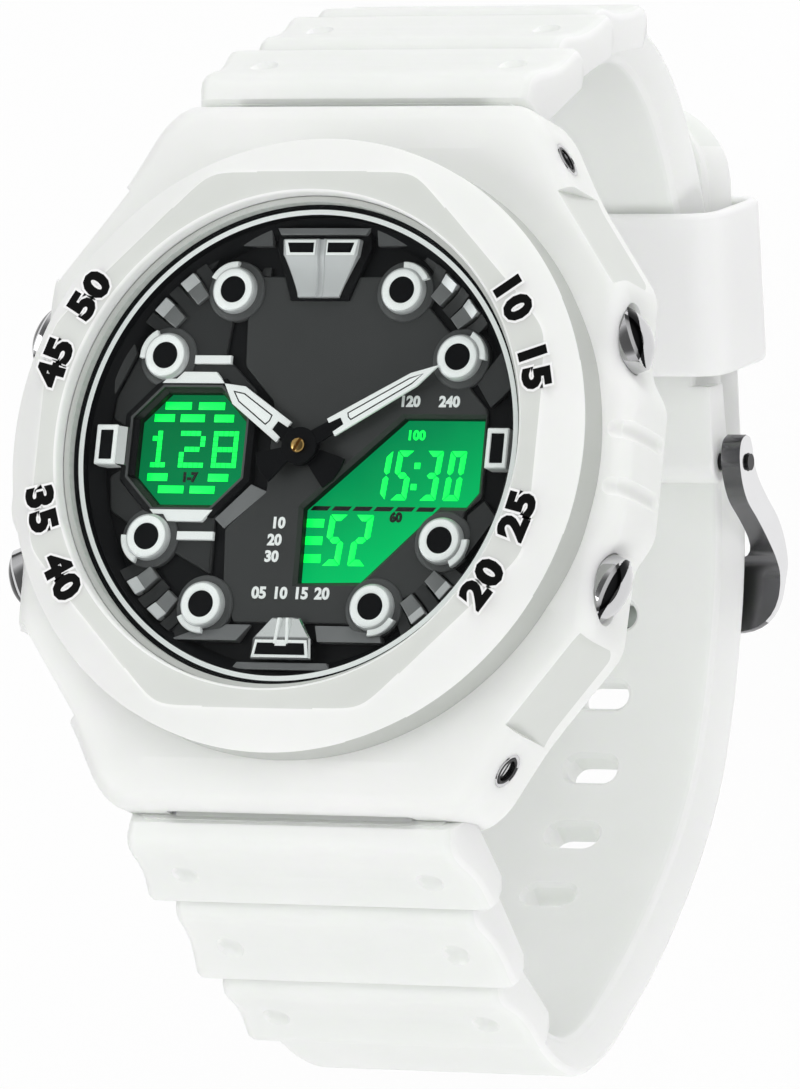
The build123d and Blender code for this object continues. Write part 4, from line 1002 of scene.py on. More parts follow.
class Repeater:
    """Sets one small piece at many places with Geometry Nodes."""

    def __init__(self, shop: Workshop) -> None:
        """Keep the workshop."""
        self.shop = shop

    def _tree(self, pattern: bpy.types.Object, material: bpy.types.Material) -> bpy.types.NodeTree:
        """The node tree: a copy of the pattern on each point, turned by the point's attribute."""
        tree = bpy.data.node_groups.new("repeat_" + pattern.name, "GeometryNodeTree")
        face = tree.interface
        face.new_socket("Places", in_out="INPUT", socket_type="NodeSocketGeometry")
        for name, usual in (("Size", 1.0), ("Lift", 0.0)):
            socket = face.new_socket(name, in_out="INPUT", socket_type="NodeSocketFloat")
            socket.default_value = usual
        face.new_socket("Pieces", in_out="OUTPUT", socket_type="NodeSocketGeometry")
        start = tree.nodes.new("NodeGroupInput")
        end = tree.nodes.new("NodeGroupOutput")
        source = tree.nodes.new("GeometryNodeObjectInfo")
        source.inputs["Object"].default_value = pattern
        turn = tree.nodes.new("GeometryNodeInputNamedAttribute")
        turn.data_type = "FLOAT_VECTOR"
        turn.inputs["Name"].default_value = "turn"
        rise = tree.nodes.new("ShaderNodeCombineXYZ")
        move = tree.nodes.new("GeometryNodeSetPosition")
        put = tree.nodes.new("GeometryNodeInstanceOnPoints")
        real = tree.nodes.new("GeometryNodeRealizeInstances")
        paint = tree.nodes.new("GeometryNodeSetMaterial")
        paint.inputs["Material"].default_value = material
        link = tree.links.new
        link(start.outputs["Lift"], rise.inputs["Z"])
        link(start.outputs["Places"], move.inputs["Geometry"])
        link(rise.outputs[0], move.inputs["Offset"])
        link(move.outputs[0], put.inputs["Points"])
        link(source.outputs["Geometry"], put.inputs["Instance"])
        link(turn.outputs[0], put.inputs["Rotation"])
        link(start.outputs["Size"], put.inputs["Scale"])
        link(put.outputs[0], real.inputs[0])
        link(real.outputs[0], paint.inputs["Geometry"])
        link(paint.outputs[0], end.inputs[0])
        return tree

    def repeat(
        self,
        name: str,
        shape: Shape,
        places: list[tuple[Point3, float]],
        finish: str,
        nodes: tuple[str, ...] = (),
        lift: float = 0.0,
    ) -> bpy.types.Object:
        """Set a small piece at each place on the case and turn it.

        Args:
            name: the name of the finished piece.
            shape: the small piece about the origin.
            places: where each one goes, and its turn about Z in degrees.
            finish: the finish of them all.
            nodes: the frame's nodes that they stand for.
            lift: how far they are raised together.

        Returns:
            One plain mesh with every copy.
        """
        pattern = self.shop.rough(name + "_pattern", shape)
        pattern.data.shade_smooth()
        pattern.data.set_sharp_from_angle(angle=radians(SHARP_ANGLE))
        mesh = bpy.data.meshes.new(name)
        mesh.from_pydata([tuple(c * MM for c in place) for place, _ in places], [], [])
        turn = mesh.attributes.new("turn", "FLOAT_VECTOR", "POINT")
        for number, (_, angle) in enumerate(places):
            turn.data[number].vector = (0.0, 0.0, radians(angle))
        made = placed(name, mesh)
        tree = self._tree(pattern, self.shop.materials[finish])
        repeat = made.modifiers.new("repeat", "NODES")
        repeat.node_group = tree
        sockets = {s.name: s.identifier for s in tree.interface.items_tree if s.in_out == "INPUT"}
        repeat[sockets["Size"]] = 1.0
        repeat[sockets["Lift"]] = lift * MM
        self.shop.evaluated(made)
        bpy.data.objects.remove(pattern)
        return self.shop.finish(made, finish, nodes=nodes)


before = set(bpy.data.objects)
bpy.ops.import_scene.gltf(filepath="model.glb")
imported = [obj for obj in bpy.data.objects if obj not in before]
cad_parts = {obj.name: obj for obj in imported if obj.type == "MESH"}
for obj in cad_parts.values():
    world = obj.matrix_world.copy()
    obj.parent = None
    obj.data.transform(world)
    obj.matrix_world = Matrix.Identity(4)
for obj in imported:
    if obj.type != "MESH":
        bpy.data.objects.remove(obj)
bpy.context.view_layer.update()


def node_box(node: str) -> tuple[Point3, Point3]:
    """The corners of one of the frame's nodes, in millimetres."""
    low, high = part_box(node)
    return tuple(c / MM for c in low), tuple(c / MM for c in high)


@dataclass
class Bezel:
    """The soft frosted shell round the case, with its octagonal upper ring and printed figures."""

    shop: Workshop
    ring_radius: float = 21.05
    octagon_apothem: float = 18.4
    octagon_softness: float = 46.0
    facet_fall: float = 1.75
    lip_radius: float = 16.95
    lip_underside: float = 10.7
    ring_bore: float = 18.45
    ring_steps: int = 288
    ring_rounds: tuple[float, ...] = (0.01, 0.01, 0.14, 0.2, 0.3)
    shell_bore: float = 19.25
    bore_top: float = 7.33
    shell_top: float = 7.5
    shoulder: float = 1.5
    foot_round: float = 0.5
    side_draw: float = 0.03
    crown_fall: float = 0.35
    outline_shares: tuple[Point2, ...] = (
        (0.552, 1.0), (0.62, 0.943), (0.722, 0.77), (0.932, 0.504), (0.94, 0.27),
        (0.998, 0.185),
    )
    outline_rounds: tuple[float, ...] = (2.2, 2.2, 1.8, 0.9, 0.8, 0.9)
    width_share: float = 1.005
    facet_tilt: float = 10.0
    facet_depth: float = 0.35
    facet_height: float = 4.2
    facet_gap: float = 0.2
    facet_block: Point2 = (14.0, 4.0)
    pocket_length: float = 4.66
    pocket_width: float = 3.42
    pocket_floor: float = 18.0
    flare: float = 0.05
    screw_place: Point2 = (15.36, 20.91)
    screw_height: float = 4.6
    screw_way: Point2 = (0.8689, 0.495)
    screw_hole: float = 0.98
    screw_flare: float = 0.3
    screw_depth: float = 3.0
    strap_opening: float = 24.7
    strap_mouth: float = 18.2
    opening_top: float = 5.6
    grip_spacing: float = 1.95
    grip_radius: float = 0.85
    grip_path: tuple[Point2, ...] = ((1.75, 0.1), (0.95, -0.35), (0.4, -1.6), (0.35, -5.6))
    cup: tuple[Point2, ...] = (
        (-0.02, -0.5), (0.1, -0.5), (0.24, -0.12), (0.26, -0.04), (0.2, 0.03), (0.12, 0.03),
        (0.0, -0.06),
    )
    # A near-black ring in the screw gap: painted shade.
    gap_shade_ring: tuple[Point2, ...] = ((-0.2, -0.12), (-0.02, -0.12), (-0.02, 0.0), (-0.2, 0.0))
    label_radius: float = 18.35
    label_angle: float = 24.0
    label_height: float = 1.9
    label_step: float = 5.3
    label_wide: float = 1.15
    label_edge: Point2 = (0.012, 0.3)
    label_ink: Point2 = (0.03, 0.15)

    def __post_init__(self) -> None:
        """Take the shell's outer sizes from the frame."""
        low, high = node_box("bezel")
        self.half_length = high[1]
        self.half_width = high[0] / self.width_share
        self.foot = low[2]
        self.top = high[2]

    def outline(self) -> list[Point2]:
        """The shell's outline, anticlockwise from the lower right."""
        quarter = [(x * self.half_width, y * self.half_length) for x, y in self.outline_shares]
        right = [(x, -y) for x, y in quarter] + [(x, y) for x, y in reversed(quarter)]
        return right + [(-x, -y) for x, y in right]

    def shell(self) -> Shape:
        """The lower shell: upright sides, a wide soft shoulder and a round foot."""
        rounds = list(self.outline_rounds + self.outline_rounds[::-1]) * 2
        outline = filleted(self.outline(), rounds, 6)
        rings = []

        def ring(step_in: float, height: float) -> None:
            """Add the outline, drawn in towards the middle, at a height."""
            share = 1 - step_in / self.half_width
            rings.append([(x * share, y * share, height) for x, y in outline])

        for draw, rise in rounding(self.foot_round, 5)[:-1]:
            ring(draw, self.foot + rise)
        ring(0.0, self.foot + self.foot_round)
        ring(self.side_draw, self.shell_top - self.shoulder - self.crown_fall)
        for fall, draw in rounding(self.shoulder, 9)[:-1]:
            ring(self.side_draw + draw, self.shell_top - self.crown_fall - fall)
        ring(self.side_draw + self.shoulder * 1.15, self.shell_top - 0.3)
        ring(self.side_draw + self.shoulder * 2.1, self.shell_top)
        return Shape().loft(rings)

    def ring(self) -> Shape:
        """The upper ring: round outside, with eight facets cut over its edge."""
        rings = []
        for number in range(self.ring_steps):
            angle = FULL_TURN * number / self.ring_steps
            spread = sum(
                max(0.0, cos(radians(angle - 45.0 * side))) ** self.octagon_softness
                for side in range(8)
            )
            flat = self.octagon_apothem / spread ** (1 / self.octagon_softness)
            low = self.shell_top - 1.0
            profile = [(self.lip_radius, low), (self.ring_radius, low),
                       (self.ring_radius, self.top - self.facet_fall), (flat, self.top),
                       (self.lip_radius, self.top)]
            soft = filleted(profile, list(self.ring_rounds), 5)
            rings.append([(*polar(r, angle), z) for r, z in soft])
        return Shape().loft(rings, loop=True)

    def _hollow(self) -> list[Shape]:
        """What is taken out for the case, the crystal and the strap."""
        lip = self.lip_radius - 0.005
        bore = [(0.0, -1.0), (self.shell_bore, -1.0), (self.shell_bore, self.bore_top),
                (self.ring_bore, self.bore_top), (self.ring_bore, self.lip_underside),
                (lip, self.lip_underside), (lip, self.top + 1), (0.0, self.top + 1)]
        cuts = [Shape().spun(bore, 160)]
        for side in (1, -1):
            reach = self.half_length - 16.0
            pocket = box_outline(self.strap_opening, reach, (0, side * (15 + reach / 2)))
            cuts.append(Shape().slab(pocket, -1, self.opening_top, 0.0))
            mouth = box_outline(self.strap_mouth, 3.0, (0, side * self.half_length))
            cuts.append(Shape().slab(mouth, -1, self.opening_top, 0.3))
        return cuts

    def _facet_ends(self) -> tuple[Vector, Vector]:
        """The two ends of the slanted facet in the upper right corner."""
        near, far = self.outline_shares[2:4]
        ends = [Vector((x * self.half_width, y * self.half_length, 0.0)) for x, y in (near, far)]
        return ends[0], ends[1]

    def _facet_seats(self) -> list[Seat]:
        """Where the four slanted facets lie, each facing out along its seat."""
        near, far = self._facet_ends()
        middle, way = (near + far) / 2, (far - near).normalized()
        tilt = radians(self.facet_tilt)
        seats = []
        for sx, sy in CORNERS:
            along = Vector((sx * way.x, sy * way.y, 0.0))
            out = Vector((sx * -way.y, sy * way.x, 0.0))
            lean = (out * cos(tilt) + Vector((0, 0, sin(tilt)))).normalized()
            rise = lean.cross(along).normalized()
            place = Vector((sx * middle.x, sy * middle.y, self.facet_height))
            place -= out * self.facet_depth
            seats.append(Seat(tuple(place), tuple(along), tuple(rise), tuple(lean)))
        return seats

    def _facets(self) -> list[Shape]:
        """The flat cuts on the four slanted sides between the pushers and the lugs."""
        near, far = self._facet_ends()
        tall, deep = self.facet_block
        outline = box_outline((far - near).length - self.facet_gap, tall)
        return [Shape().slab(outline, 0.0, deep, 0.0, seat=seat) for seat in self._facet_seats()]

    def _screw_seat(self, corner: tuple[int, int]) -> Seat:
        """The seat of the side screw in a corner."""
        (sx, sy), (x, y) = corner, self.screw_place
        out = Vector((sx * self.screw_way[0], sy * self.screw_way[1], 0.0))
        origin = (sx * x, sy * y, self.screw_height)
        return Seat(origin, (-out.y, out.x, 0.0), (0, 0, 1), tuple(out))

    def _holes(self) -> list[Shape]:
        """The pockets of the pushers, the screws' holes and the grips."""
        cuts = []
        for corner in CORNERS:
            seat = pusher_seat(corner)
            hole = oval_outline(self.pocket_length, self.pocket_width)
            grown = 2 * self.flare
            wide = oval_outline(self.pocket_length + grown, self.pocket_width + grown)
            face = self.half_width + 0.05
            rings = [seat.ring(hole, self.pocket_floor), seat.ring(hole, face - grown)]
            rings += [seat.ring(wide, face), seat.ring(wide, face + 3)]
            cuts.append(Shape().loft(rings))
            seat = self._screw_seat(corner)
            hole = circle(self.screw_hole, 24)
            wide = circle(self.screw_hole + self.screw_flare, 24)
            rings = [seat.ring(hole, -self.screw_depth), seat.ring(hole, -0.32),
                     seat.ring(wide, 0.0), seat.ring(wide, 1.0)]
            cuts.append(Shape().loft(rings))
        for sx in (1, -1):
            for y in (-self.grip_spacing, self.grip_spacing):
                reach = self.half_width + self.grip_radius
                path = [(sx * (reach - draw), y, self.shell_top + rise)
                        for draw, rise in self.grip_path]
                cuts.append(Shape().tube(path, self.grip_radius, 20))
        return cuts

    def build(self) -> None:
        """Make the shell, then its printed figures."""
        made = self.shop.rough("bezel_shell", self.shell())
        self.shop.combine(made, self._facets(), Cut.CARVE)
        self.shop.combine(made, [self.ring()], Cut.JOIN)
        self.shop.combine(made, self._hollow() + self._holes(), Cut.CARVE)
        self.shop.finish(made, "bezel_resin", nodes=("bezel",), sharp=32.0)
        # Painted shade on the ring's top, wall and facets.
        self._paint_shading(made)
        self._cups()
        self._print()

    def _paint_shading(self, made: bpy.types.Object) -> None:
        """Painted shade: darker resin copies on the ring's flat top, side wall and side facets."""
        self.shop.add_painted_shading(made, "bezel_flat_painted_shade", "bezel_wall_painted_shade", "bezel_facet_painted_shade")
        for face in made.data.polygons:
            place = face.center / MM
            steep = abs(face.normal.z) < STEEP
            off_wall = hypot(place.x, place.y) - self.ring_radius
            if face.normal.z > LEVEL and place.z > self.top - 0.03:
                face.material_index = 1
            elif off_wall > -0.1 and place.z > self.shell_top and steep:
                if off_wall < 0.05:
                    face.material_index = 2
            elif place.z < self.shell_top - 0.3 and self._on_facet(place, face.normal):
                face.material_index = 3

    def _on_facet(self, place: Vector, normal: Vector) -> bool:
        """Tell whether a face lies on one of the four slanted facets."""
        for seat in self._facet_seats():
            lean = Vector(seat.out)
            if normal.dot(lean) > 0.999 and abs((place - Vector(seat.origin)).dot(lean)) < 0.02:
                return True
        return False

    def _cups(self) -> None:
        """The polished cup round each of the four side screws, and a near-black ring of painted
        shade in its gap.
        """
        cups, gaps = Shape(), Shape()
        for shape, profile in ((cups, self.cup), (gaps, self.gap_shade_ring)):
            spun = [(self.screw_hole + draw, high) for draw, high in profile]
            for corner in CORNERS:
                shape.spun(spun, 40, self._screw_seat(corner))
        self.shop.piece("screw_cups", cups, "pusher_chrome", sharp=30.0)
        # Painted shade: a near-black ring in the gap round each screw.
        self.shop.piece("screw_gaps", gaps, "pin_dark")

    def _print(self) -> None:
        """Print plain figures beside the pushers, black with a white edge."""
        ink, halo = Shape(), Shape()
        for (sx, sy), text in zip(CORNERS, ("10 15", "20 25", "35 40", "45 50")):
            middle = sx * sy * self.label_angle + (180.0 if sx < 0 else 0.0)
            for number, mark in enumerate(text):
                if mark == " ":
                    continue
                angle = middle + sy * (2 - number) * self.label_step
                turn = -90.0 * sy
                x, y = polar(self.label_radius, angle)
                seat = Seat((x, y, self.top)).turned(angle + turn)
                for shape, (thick, fatten) in ((halo, self.label_edge), (ink, self.label_ink)):
                    shape.joined(self.shop.lettering(
                        mark, self.label_height, seat, thick, fatten, self.label_wide
                    ))
        self.shop.piece("bezel_figures_edge", halo, "print_white")
        self.shop.piece("bezel_figures", ink, "print_black")


@dataclass
class StrapHalf:
    """One half of the ribbed translucent strap, from its bar to its free end.

    Each point of the side view has its share of the loop's reach and drop, then its
    thickness as a share of the thickest place.
    """

    shop: Workshop
    name: str
    hand: int
    shares: tuple[tuple[float, float, float], ...]
    slots: bool
    loop_reach: float = 37.2
    loop_drop: float = 46.9
    thickness: float = 4.2
    start: Point2 = (24.75, 4.9)
    bar: Point2 = (21.3, 3.3)
    barrel_radius: float = 1.55
    tongue_half: float = 8.8
    root_half: float = 11.2
    middle_half: float = 10.35
    end_half: float = 9.4
    root_level: float = 5.0
    middle_level: float = -12.0
    end_level: float = -33.0
    edge: float = 0.6
    side_lean: float = 1.2
    lean_run: float = 14.0
    least_half: float = 0.6
    scale_ends: tuple[float, ...] = (0.0, 7.6, 15.6, 23.4)
    scale_halves: tuple[float, ...] = (12.6, 11.7, 10.9)
    hill: tuple[Point2, ...] = (
        (0.0, -0.3), (0.02, 0.15), (0.06, 0.75), (0.11, 1.1), (0.17, 1.28), (0.24, 1.24),
        (0.34, 1.0), (0.46, 0.76), (0.6, 0.66), (0.74, 0.74), (0.86, 0.95), (0.93, 1.06),
        (0.975, 0.98), (1.0, 0.66),
    )
    first_hill: tuple[Point2, ...] = ((0.0, 0.48), (0.02, 0.62))
    scale_sink: float = 1.9
    scale_round: float = 0.8
    scale_corner: float = 0.9
    scale_drop: float = 0.9
    scale_slide: float = 0.35
    scale_spread: float = 0.07
    scale_waist: float = 0.045
    dimple_radius: float = 1.25
    dimple_place: Point2 = (0.72, 0.6)
    dimple_high: float = 1.445
    slot_length: float = 3.9
    slot_width: float = 1.95
    slot_flare: float = 0.7
    slot_lip: float = 0.33
    slot_pitch: float = 6.1
    prong_slot_y: float = 5.83
    pin: Point2 = BUCKLE_PIN
    eye_radius: float = 1.55
    bar_hole: float = 0.78
    pin_hole: float = 0.68
    prong_notch: Point2 = (2.6, 6.0)
    bend_start: Point2 = (24.4, 3.0)
    bend_end: Point2 = (27.4, 1.4)
    pitch: float = 0.6
    fold_reach: int = 24
    tip_length: float = 7.0
    tip_power: float = 2.4
    inner_facing: float = 0.55
    side_facing: float = 0.6
    slot_search: float = 0.2
    slot_range: tuple[int, int] = (-5, 5)
    path: list[tuple[Point2, float]] = field(default_factory=list)

    def __post_init__(self) -> None:
        """Walk the outer face in even steps on a smooth curve."""
        rough = [(self.hand * self.start[0], self.start[1], 1.0)]
        rough += [(y * self.loop_reach, z * self.loop_drop, t) for y, z, t in self.shares]
        self.path = [((y, z), share * self.thickness) for y, z, share in smoothed(rough, 10)]

    def length(self) -> float:
        """The length of the outer face."""
        points = [place for place, _ in self.path]
        return sum(hypot(b[0] - a[0], b[1] - a[1]) for a, b in zip(points, points[1:]))

    def spot(self, distance: float) -> tuple[Seat, float]:
        """The seat on the outer face a distance along it, and the thickness there.

        Args:
            distance: how far from the case end.

        Returns:
            A seat whose Z is outwards and whose Y runs along the strap, and the thickness.
        """
        left = distance
        for number in range(len(self.path) - 1):
            (first, thick), (second, thick_after) = self.path[number], self.path[number + 1]
            run = hypot(second[0] - first[0], second[1] - first[1])
            if left <= run or number == len(self.path) - 2:
                share = left / run
                before = self.path[max(number - 1, 0)][0]
                after = self.path[min(number + 2, len(self.path) - 1)][0]
                start_way = Vector((second[0] - before[0], second[1] - before[1])).normalized()
                end_way = Vector((after[0] - first[0], after[1] - first[1])).normalized()
                way = start_way.lerp(end_way, max(0.0, min(1.0, share))).normalized()
                place = (between(first[0], second[0], share), between(first[1], second[1], share))
                out = (-way.y * self.hand, way.x * self.hand)
                seat = Seat(
                    (0.0, place[0], place[1]), (1.0, 0.0, 0.0), (0.0, way.x, way.y),
                    (0.0, out[0], out[1]),
                )
                return seat, between(thick, thick_after, share)
            left -= run
        raise ValueError("the strap is shorter than this distance")

    def half_at(self, level: float) -> float:
        """Half the strap's width at a height in the frame."""
        upper, wide = self.root_level, self.root_half
        lower, narrow = self.middle_level, self.middle_half
        if level <= self.middle_level:
            upper, wide, lower, narrow = lower, narrow, self.end_level, self.end_half
        share = (upper - level) / (upper - lower)
        return between(wide, narrow, max(0.0, min(1.0, share)))

    def inner_face(self, seats: list[tuple[Seat, float]]) -> list[Vector]:
        """The inner face's points under each seat, drawn together where the bend is tight."""
        inner = [Vector(seat.at(0.0, 0.0, -thick)) for seat, thick in seats]
        for first in range(len(inner) - 2):
            furthest = min(first + self.fold_reach, len(inner) - 2)
            for last in range(furthest, first + 1, -1):
                spots = (first, first + 1, last, last + 1)
                cross = intersect_line_line_2d(*(inner[spot].yz for spot in spots))
                if cross is not None:
                    for number in range(first + 1, last + 1):
                        inner[number] = Vector((0.0, cross.x, cross.y))
                    break
        return inner

    def band(self) -> Shape:
        """The plain band: a long soft-edged strip that narrows towards its end."""
        rings = []
        total = self.length()
        count = int(total / self.pitch)
        tip = self.tip_length if self.slots else 0.0
        seats = [self.spot(total * number / count) for number in range(count + 1)]
        for number, ((seat, thick), under) in enumerate(zip(seats, self.inner_face(seats))):
            half = self.half_at(seat.origin[2])
            to_end = total * (1 - number / count)
            if tip and to_end < tip:
                half *= sqrt(max(0.0, 1 - (1 - to_end / tip) ** self.tip_power)) * 0.9 + 0.1
            edge = self.edge
            low_half = half - self.side_lean * min(1.0, total * number / count / self.lean_run)
            low_half = max(low_half, half * self.least_half)
            outline = []
            for x, y, a in ((half - edge, -edge, 0), (-half + edge, -edge, 90),
                            (-low_half + edge, -thick + edge, 180),
                            (low_half - edge, -thick + edge, 270)):
                outline += arc((x, y), edge, a, a + 90, 6)
            top = Vector(seat.at(0.0, 0.0, 0.0))
            rings.append(
                [tuple(top.lerp(under, -y / thick) + Vector((x, 0.0, 0.0))) for x, y in outline]
            )
        return Shape().loft(rings)

    def tongue(self) -> Shape:
        """The narrow part inside the bezel that holds the spring bar."""
        seat = Seat(across=(0.0, self.hand * 1.0, 0.0), up=SIDE_ON.up, out=SIDE_ON.out)
        y, z = self.bar
        reach = self.start[0] + 1.2
        side = [(y, z - self.barrel_radius), (reach, z - 2.3), (reach, self.start[1] - 0.4),
                (y, z + self.barrel_radius)]
        back = arc((y, z), self.barrel_radius, 90, 270, 10)
        outline = side + back[1:-1]
        return Shape().slab(outline, -self.tongue_half, self.tongue_half, 0.25, 0.25, seat)

    def scales(self) -> list[Shape]:
        """The three overlapping ribs by the case, each with a raised knee and lip."""
        result = []
        sink, corner = self.scale_sink, self.scale_corner
        for number, half in enumerate(self.scale_halves):
            start, end = self.scale_ends[number], self.scale_ends[number + 1]
            run = end - start
            hill = self.hill
            if number == 0:
                hill = self.first_hill + hill[2:]
            top = [(start + share * run, rise) for share, rise in hill]
            profile = [(start + 0.2, -sink)] + top + [(end + 0.06, -0.1), (end - 0.1, -sink)]
            rings = []
            edge = rounding(self.scale_round, 6)[::-1]
            stations = [(half - draw, fall) for draw, fall in edge]
            stations += [(-x, fall) for x, fall in reversed(stations)]
            for x, shrink in stations:
                ring = []
                for along, rise in profile:
                    share = min(1.0, max(0.0, (rise + sink) / sink))
                    near = min(1.0, (along - start + 0.01) / corner, (end - along + 0.3) / corner)
                    height = rise - shrink * (self.scale_drop if rise > -sink else 0.0)
                    way = 1 if along < start + run / 2 else -1
                    slide = shrink * self.scale_slide * way * (1 - near)
                    seat, _ = self.spot(max(0.0, along + slide))
                    spread = self.scale_spread * (along - start) / run - self.scale_waist
                    ring.append(seat.at(x * (1 + share * spread), 0.0, height))
                rings.append(ring)
            result.append(Shape().loft(rings))
        return result

    def dimples(self) -> list[Shape]:
        """Small round hollows near the ends of each rib."""
        result = []
        across, along = self.dimple_place
        for number, half in enumerate(self.scale_halves):
            middle = between(self.scale_ends[number], self.scale_ends[number + 1], along)
            seat, _ = self.spot(middle)
            for side in (1, -1):
                centre = seat.at(side * half * across, 0.0, self.dimple_high)
                result.append(Shape().ball(centre, self.dimple_radius, 12))
        return result

    def slot_cuts(self) -> list[Shape]:
        """The adjusting slots, flared at both faces."""
        total = self.length()
        steps = int(total / self.slot_search)
        home = 0.0
        for number in range(steps):
            seat, _ = self.spot(total * number / steps)
            if seat.origin[2] < self.end_level and seat.origin[1] <= self.prong_slot_y:
                home = total * number / steps
        cuts = []
        hole = slot_outline(self.slot_length, self.slot_width)
        wide = slot_outline(self.slot_length + self.slot_flare, self.slot_width + self.slot_flare)
        for number in range(*self.slot_range):
            seat, thick = self.spot(home + number * self.slot_pitch)
            levels = ((wide, 1.0), (wide, 0.12), (hole, -self.slot_lip),
                      (hole, self.slot_lip - thick), (wide, -0.1 - thick), (wide, -1.0 - thick))
            cuts.append(Shape().loft([seat.ring(outline, high) for outline, high in levels]))
        return cuts

    def eye(self) -> list[Shape]:
        """The rolled end round the buckle's pin."""
        y, z = self.pin
        last, thick = self.spot(self.length() - 1.0)
        top, under = last.origin[1:], last.at(0.0, 0.0, -thick)[1:]
        way = Vector((y - last.origin[1], z - last.origin[2])).normalized()
        side = Vector((-way.y, way.x)) * self.eye_radius * 0.98
        if side.dot(Vector(top)) < side.dot(Vector(under)):
            side = -side
        roll = [(y + along, z + high) for along, high in circle(self.eye_radius, 24)]
        neck = [top, (y + side.x, z + side.y), (y - side.x, z - side.y), under]
        half = self.end_half
        return [Shape().slab(roll, -half, half, 0.3, 0.3, SIDE_ON),
                Shape().slab(neck, -half, half, 0.2, 0.2, SIDE_ON)]

    def build(self) -> None:
        """Make this half."""
        made = self.shop.rough(self.name + "_rubber", self.band())
        joins = self.scales() + [self.tongue()]
        if not self.slots:
            joins += self.eye()
        self.shop.combine(made, joins, Cut.JOIN)
        cuts = self.dimples()
        reach = self.root_half + 1
        bar = (self.hand * self.bar[0], self.bar[1])
        cuts.append(Shape().tube([(-reach, *bar), (reach, *bar)], self.bar_hole, 20))
        if self.slots:
            cuts += self.slot_cuts()
        else:
            pin = [(-12.0, *self.pin), (12.0, *self.pin)]
            cuts.append(Shape().tube(pin, self.pin_hole, 20))
            notch = box_outline(*self.prong_notch, (0.0, self.pin[0] - 1.2))
            cuts.append(Shape().slab(notch, self.pin[1] - 4, self.pin[1] + 1.2, 0.0))
        self.shop.combine(made, cuts, Cut.CARVE)
        self.shop.finish(made, "strap_rubber", None, (self.name,), 38.0)
        # Painted light on the inner face and painted highlight on the side faces.
        self._paint_shading(made)
        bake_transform(made)

    def _paint_shading(self, made: bpy.types.Object) -> None:
        """Paint light on the inner face with a hair lighter copy, and a highlight on the side
        faces.
        """
        self.shop.add_painted_shading(made, "strap_inner_painted_light", "strap_edge_painted_highlight")
        middle = Vector((0.0, 0.0, -0.4 * self.loop_drop * MM))
        for face in made.data.polygons:
            inwards = (middle - face.center).yz.normalized()
            if abs(face.normal.x) > self.side_facing:
                face.material_index = 2
            elif face.normal.yz.dot(inwards) > self.inner_facing and face.center.z < 0.0:
                face.material_index = 1


SIX_SHARES = (
    (-0.712, 0.066, 1.0), (-0.766, -0.028, 0.95), (-0.834, -0.115, 0.86), (-0.896, -0.203, 0.8),
    (-0.954, -0.32, 0.74), (-0.992, -0.44, 0.68), (-0.984, -0.546, 0.64), (-0.919, -0.648, 0.62),
    (-0.806, -0.744, 0.6), (-0.672, -0.836, 0.6), (-0.511, -0.921, 0.58), (-0.349, -0.977, 0.58),
    (-0.188, -0.998, 0.58), (-0.013, -1.0, 0.58), (0.108, -0.989, 0.57), (0.188, -0.973, 0.56),
    (0.269, -0.951, 0.55), (0.38, -0.915, 0.54), (0.54, -0.87, 0.54), (0.7, -0.824, 0.54),
    (0.8, -0.8, 0.54), (0.96, -0.774, 0.5),
)
TWELVE_SHARES = (
    (0.712, 0.07, 1.0), (0.766, 0.0, 0.95), (0.86, -0.115, 0.84), (0.927, -0.23, 0.78),
    (0.965, -0.341, 0.7), (0.957, -0.437, 0.66), (0.911, -0.533, 0.62), (0.842, -0.613, 0.6),
    (0.762, -0.68, 0.6), (0.685, -0.729, 0.6), (0.54, -0.793, 0.6), (0.39, -0.84, 0.58),
)


@dataclass
class Keeper:
    """The loose translucent loop that holds the strap's free end."""

    shop: Workshop
    place: Point2 = (21.9, -36.6)
    angle: float = 21.5
    half_width: float = 11.4
    wall: float = 0.9
    length: float = 11.6
    inner_height: float = 8.2
    corner: float = 2.5
    inner_corner: float = 1.7
    rim_round: float = 0.42

    def build(self) -> None:
        """Make the loop with soft edges."""
        c, s = cos(radians(self.angle)), sin(radians(self.angle))
        seat = Seat((0.0, *self.place), (1.0, 0.0, 0.0), (0.0, -s, c), (0.0, c, s))
        height = self.inner_height + 2 * self.wall
        width = 2 * (self.half_width - self.wall)
        outer = filleted(box_outline(2 * self.half_width, height), self.corner, 10)
        inner = filleted(box_outline(width, self.inner_height), self.inner_corner, 10)
        half = self.length / 2
        round_in = rounding(self.rim_round, 6)
        round_out = round_in[::-1]
        rings = [seat.ring(inset(outer, draw), -half + rise) for draw, rise in round_in]
        rings += [seat.ring(inset(outer, draw), half - rise) for draw, rise in round_out]
        rings += [seat.ring(inset(inner, -draw), half - rise) for draw, rise in round_in]
        rings += [seat.ring(inset(inner, -draw), -half + rise) for draw, rise in round_out]
        shape = Shape().loft(rings, loop=True)
        # The keeper takes the lighter rubber copy, which is painted light.
        self.shop.piece("keeper_loop", shape, "keeper_painted_light", "keeper", ("keeper",), 38.0)


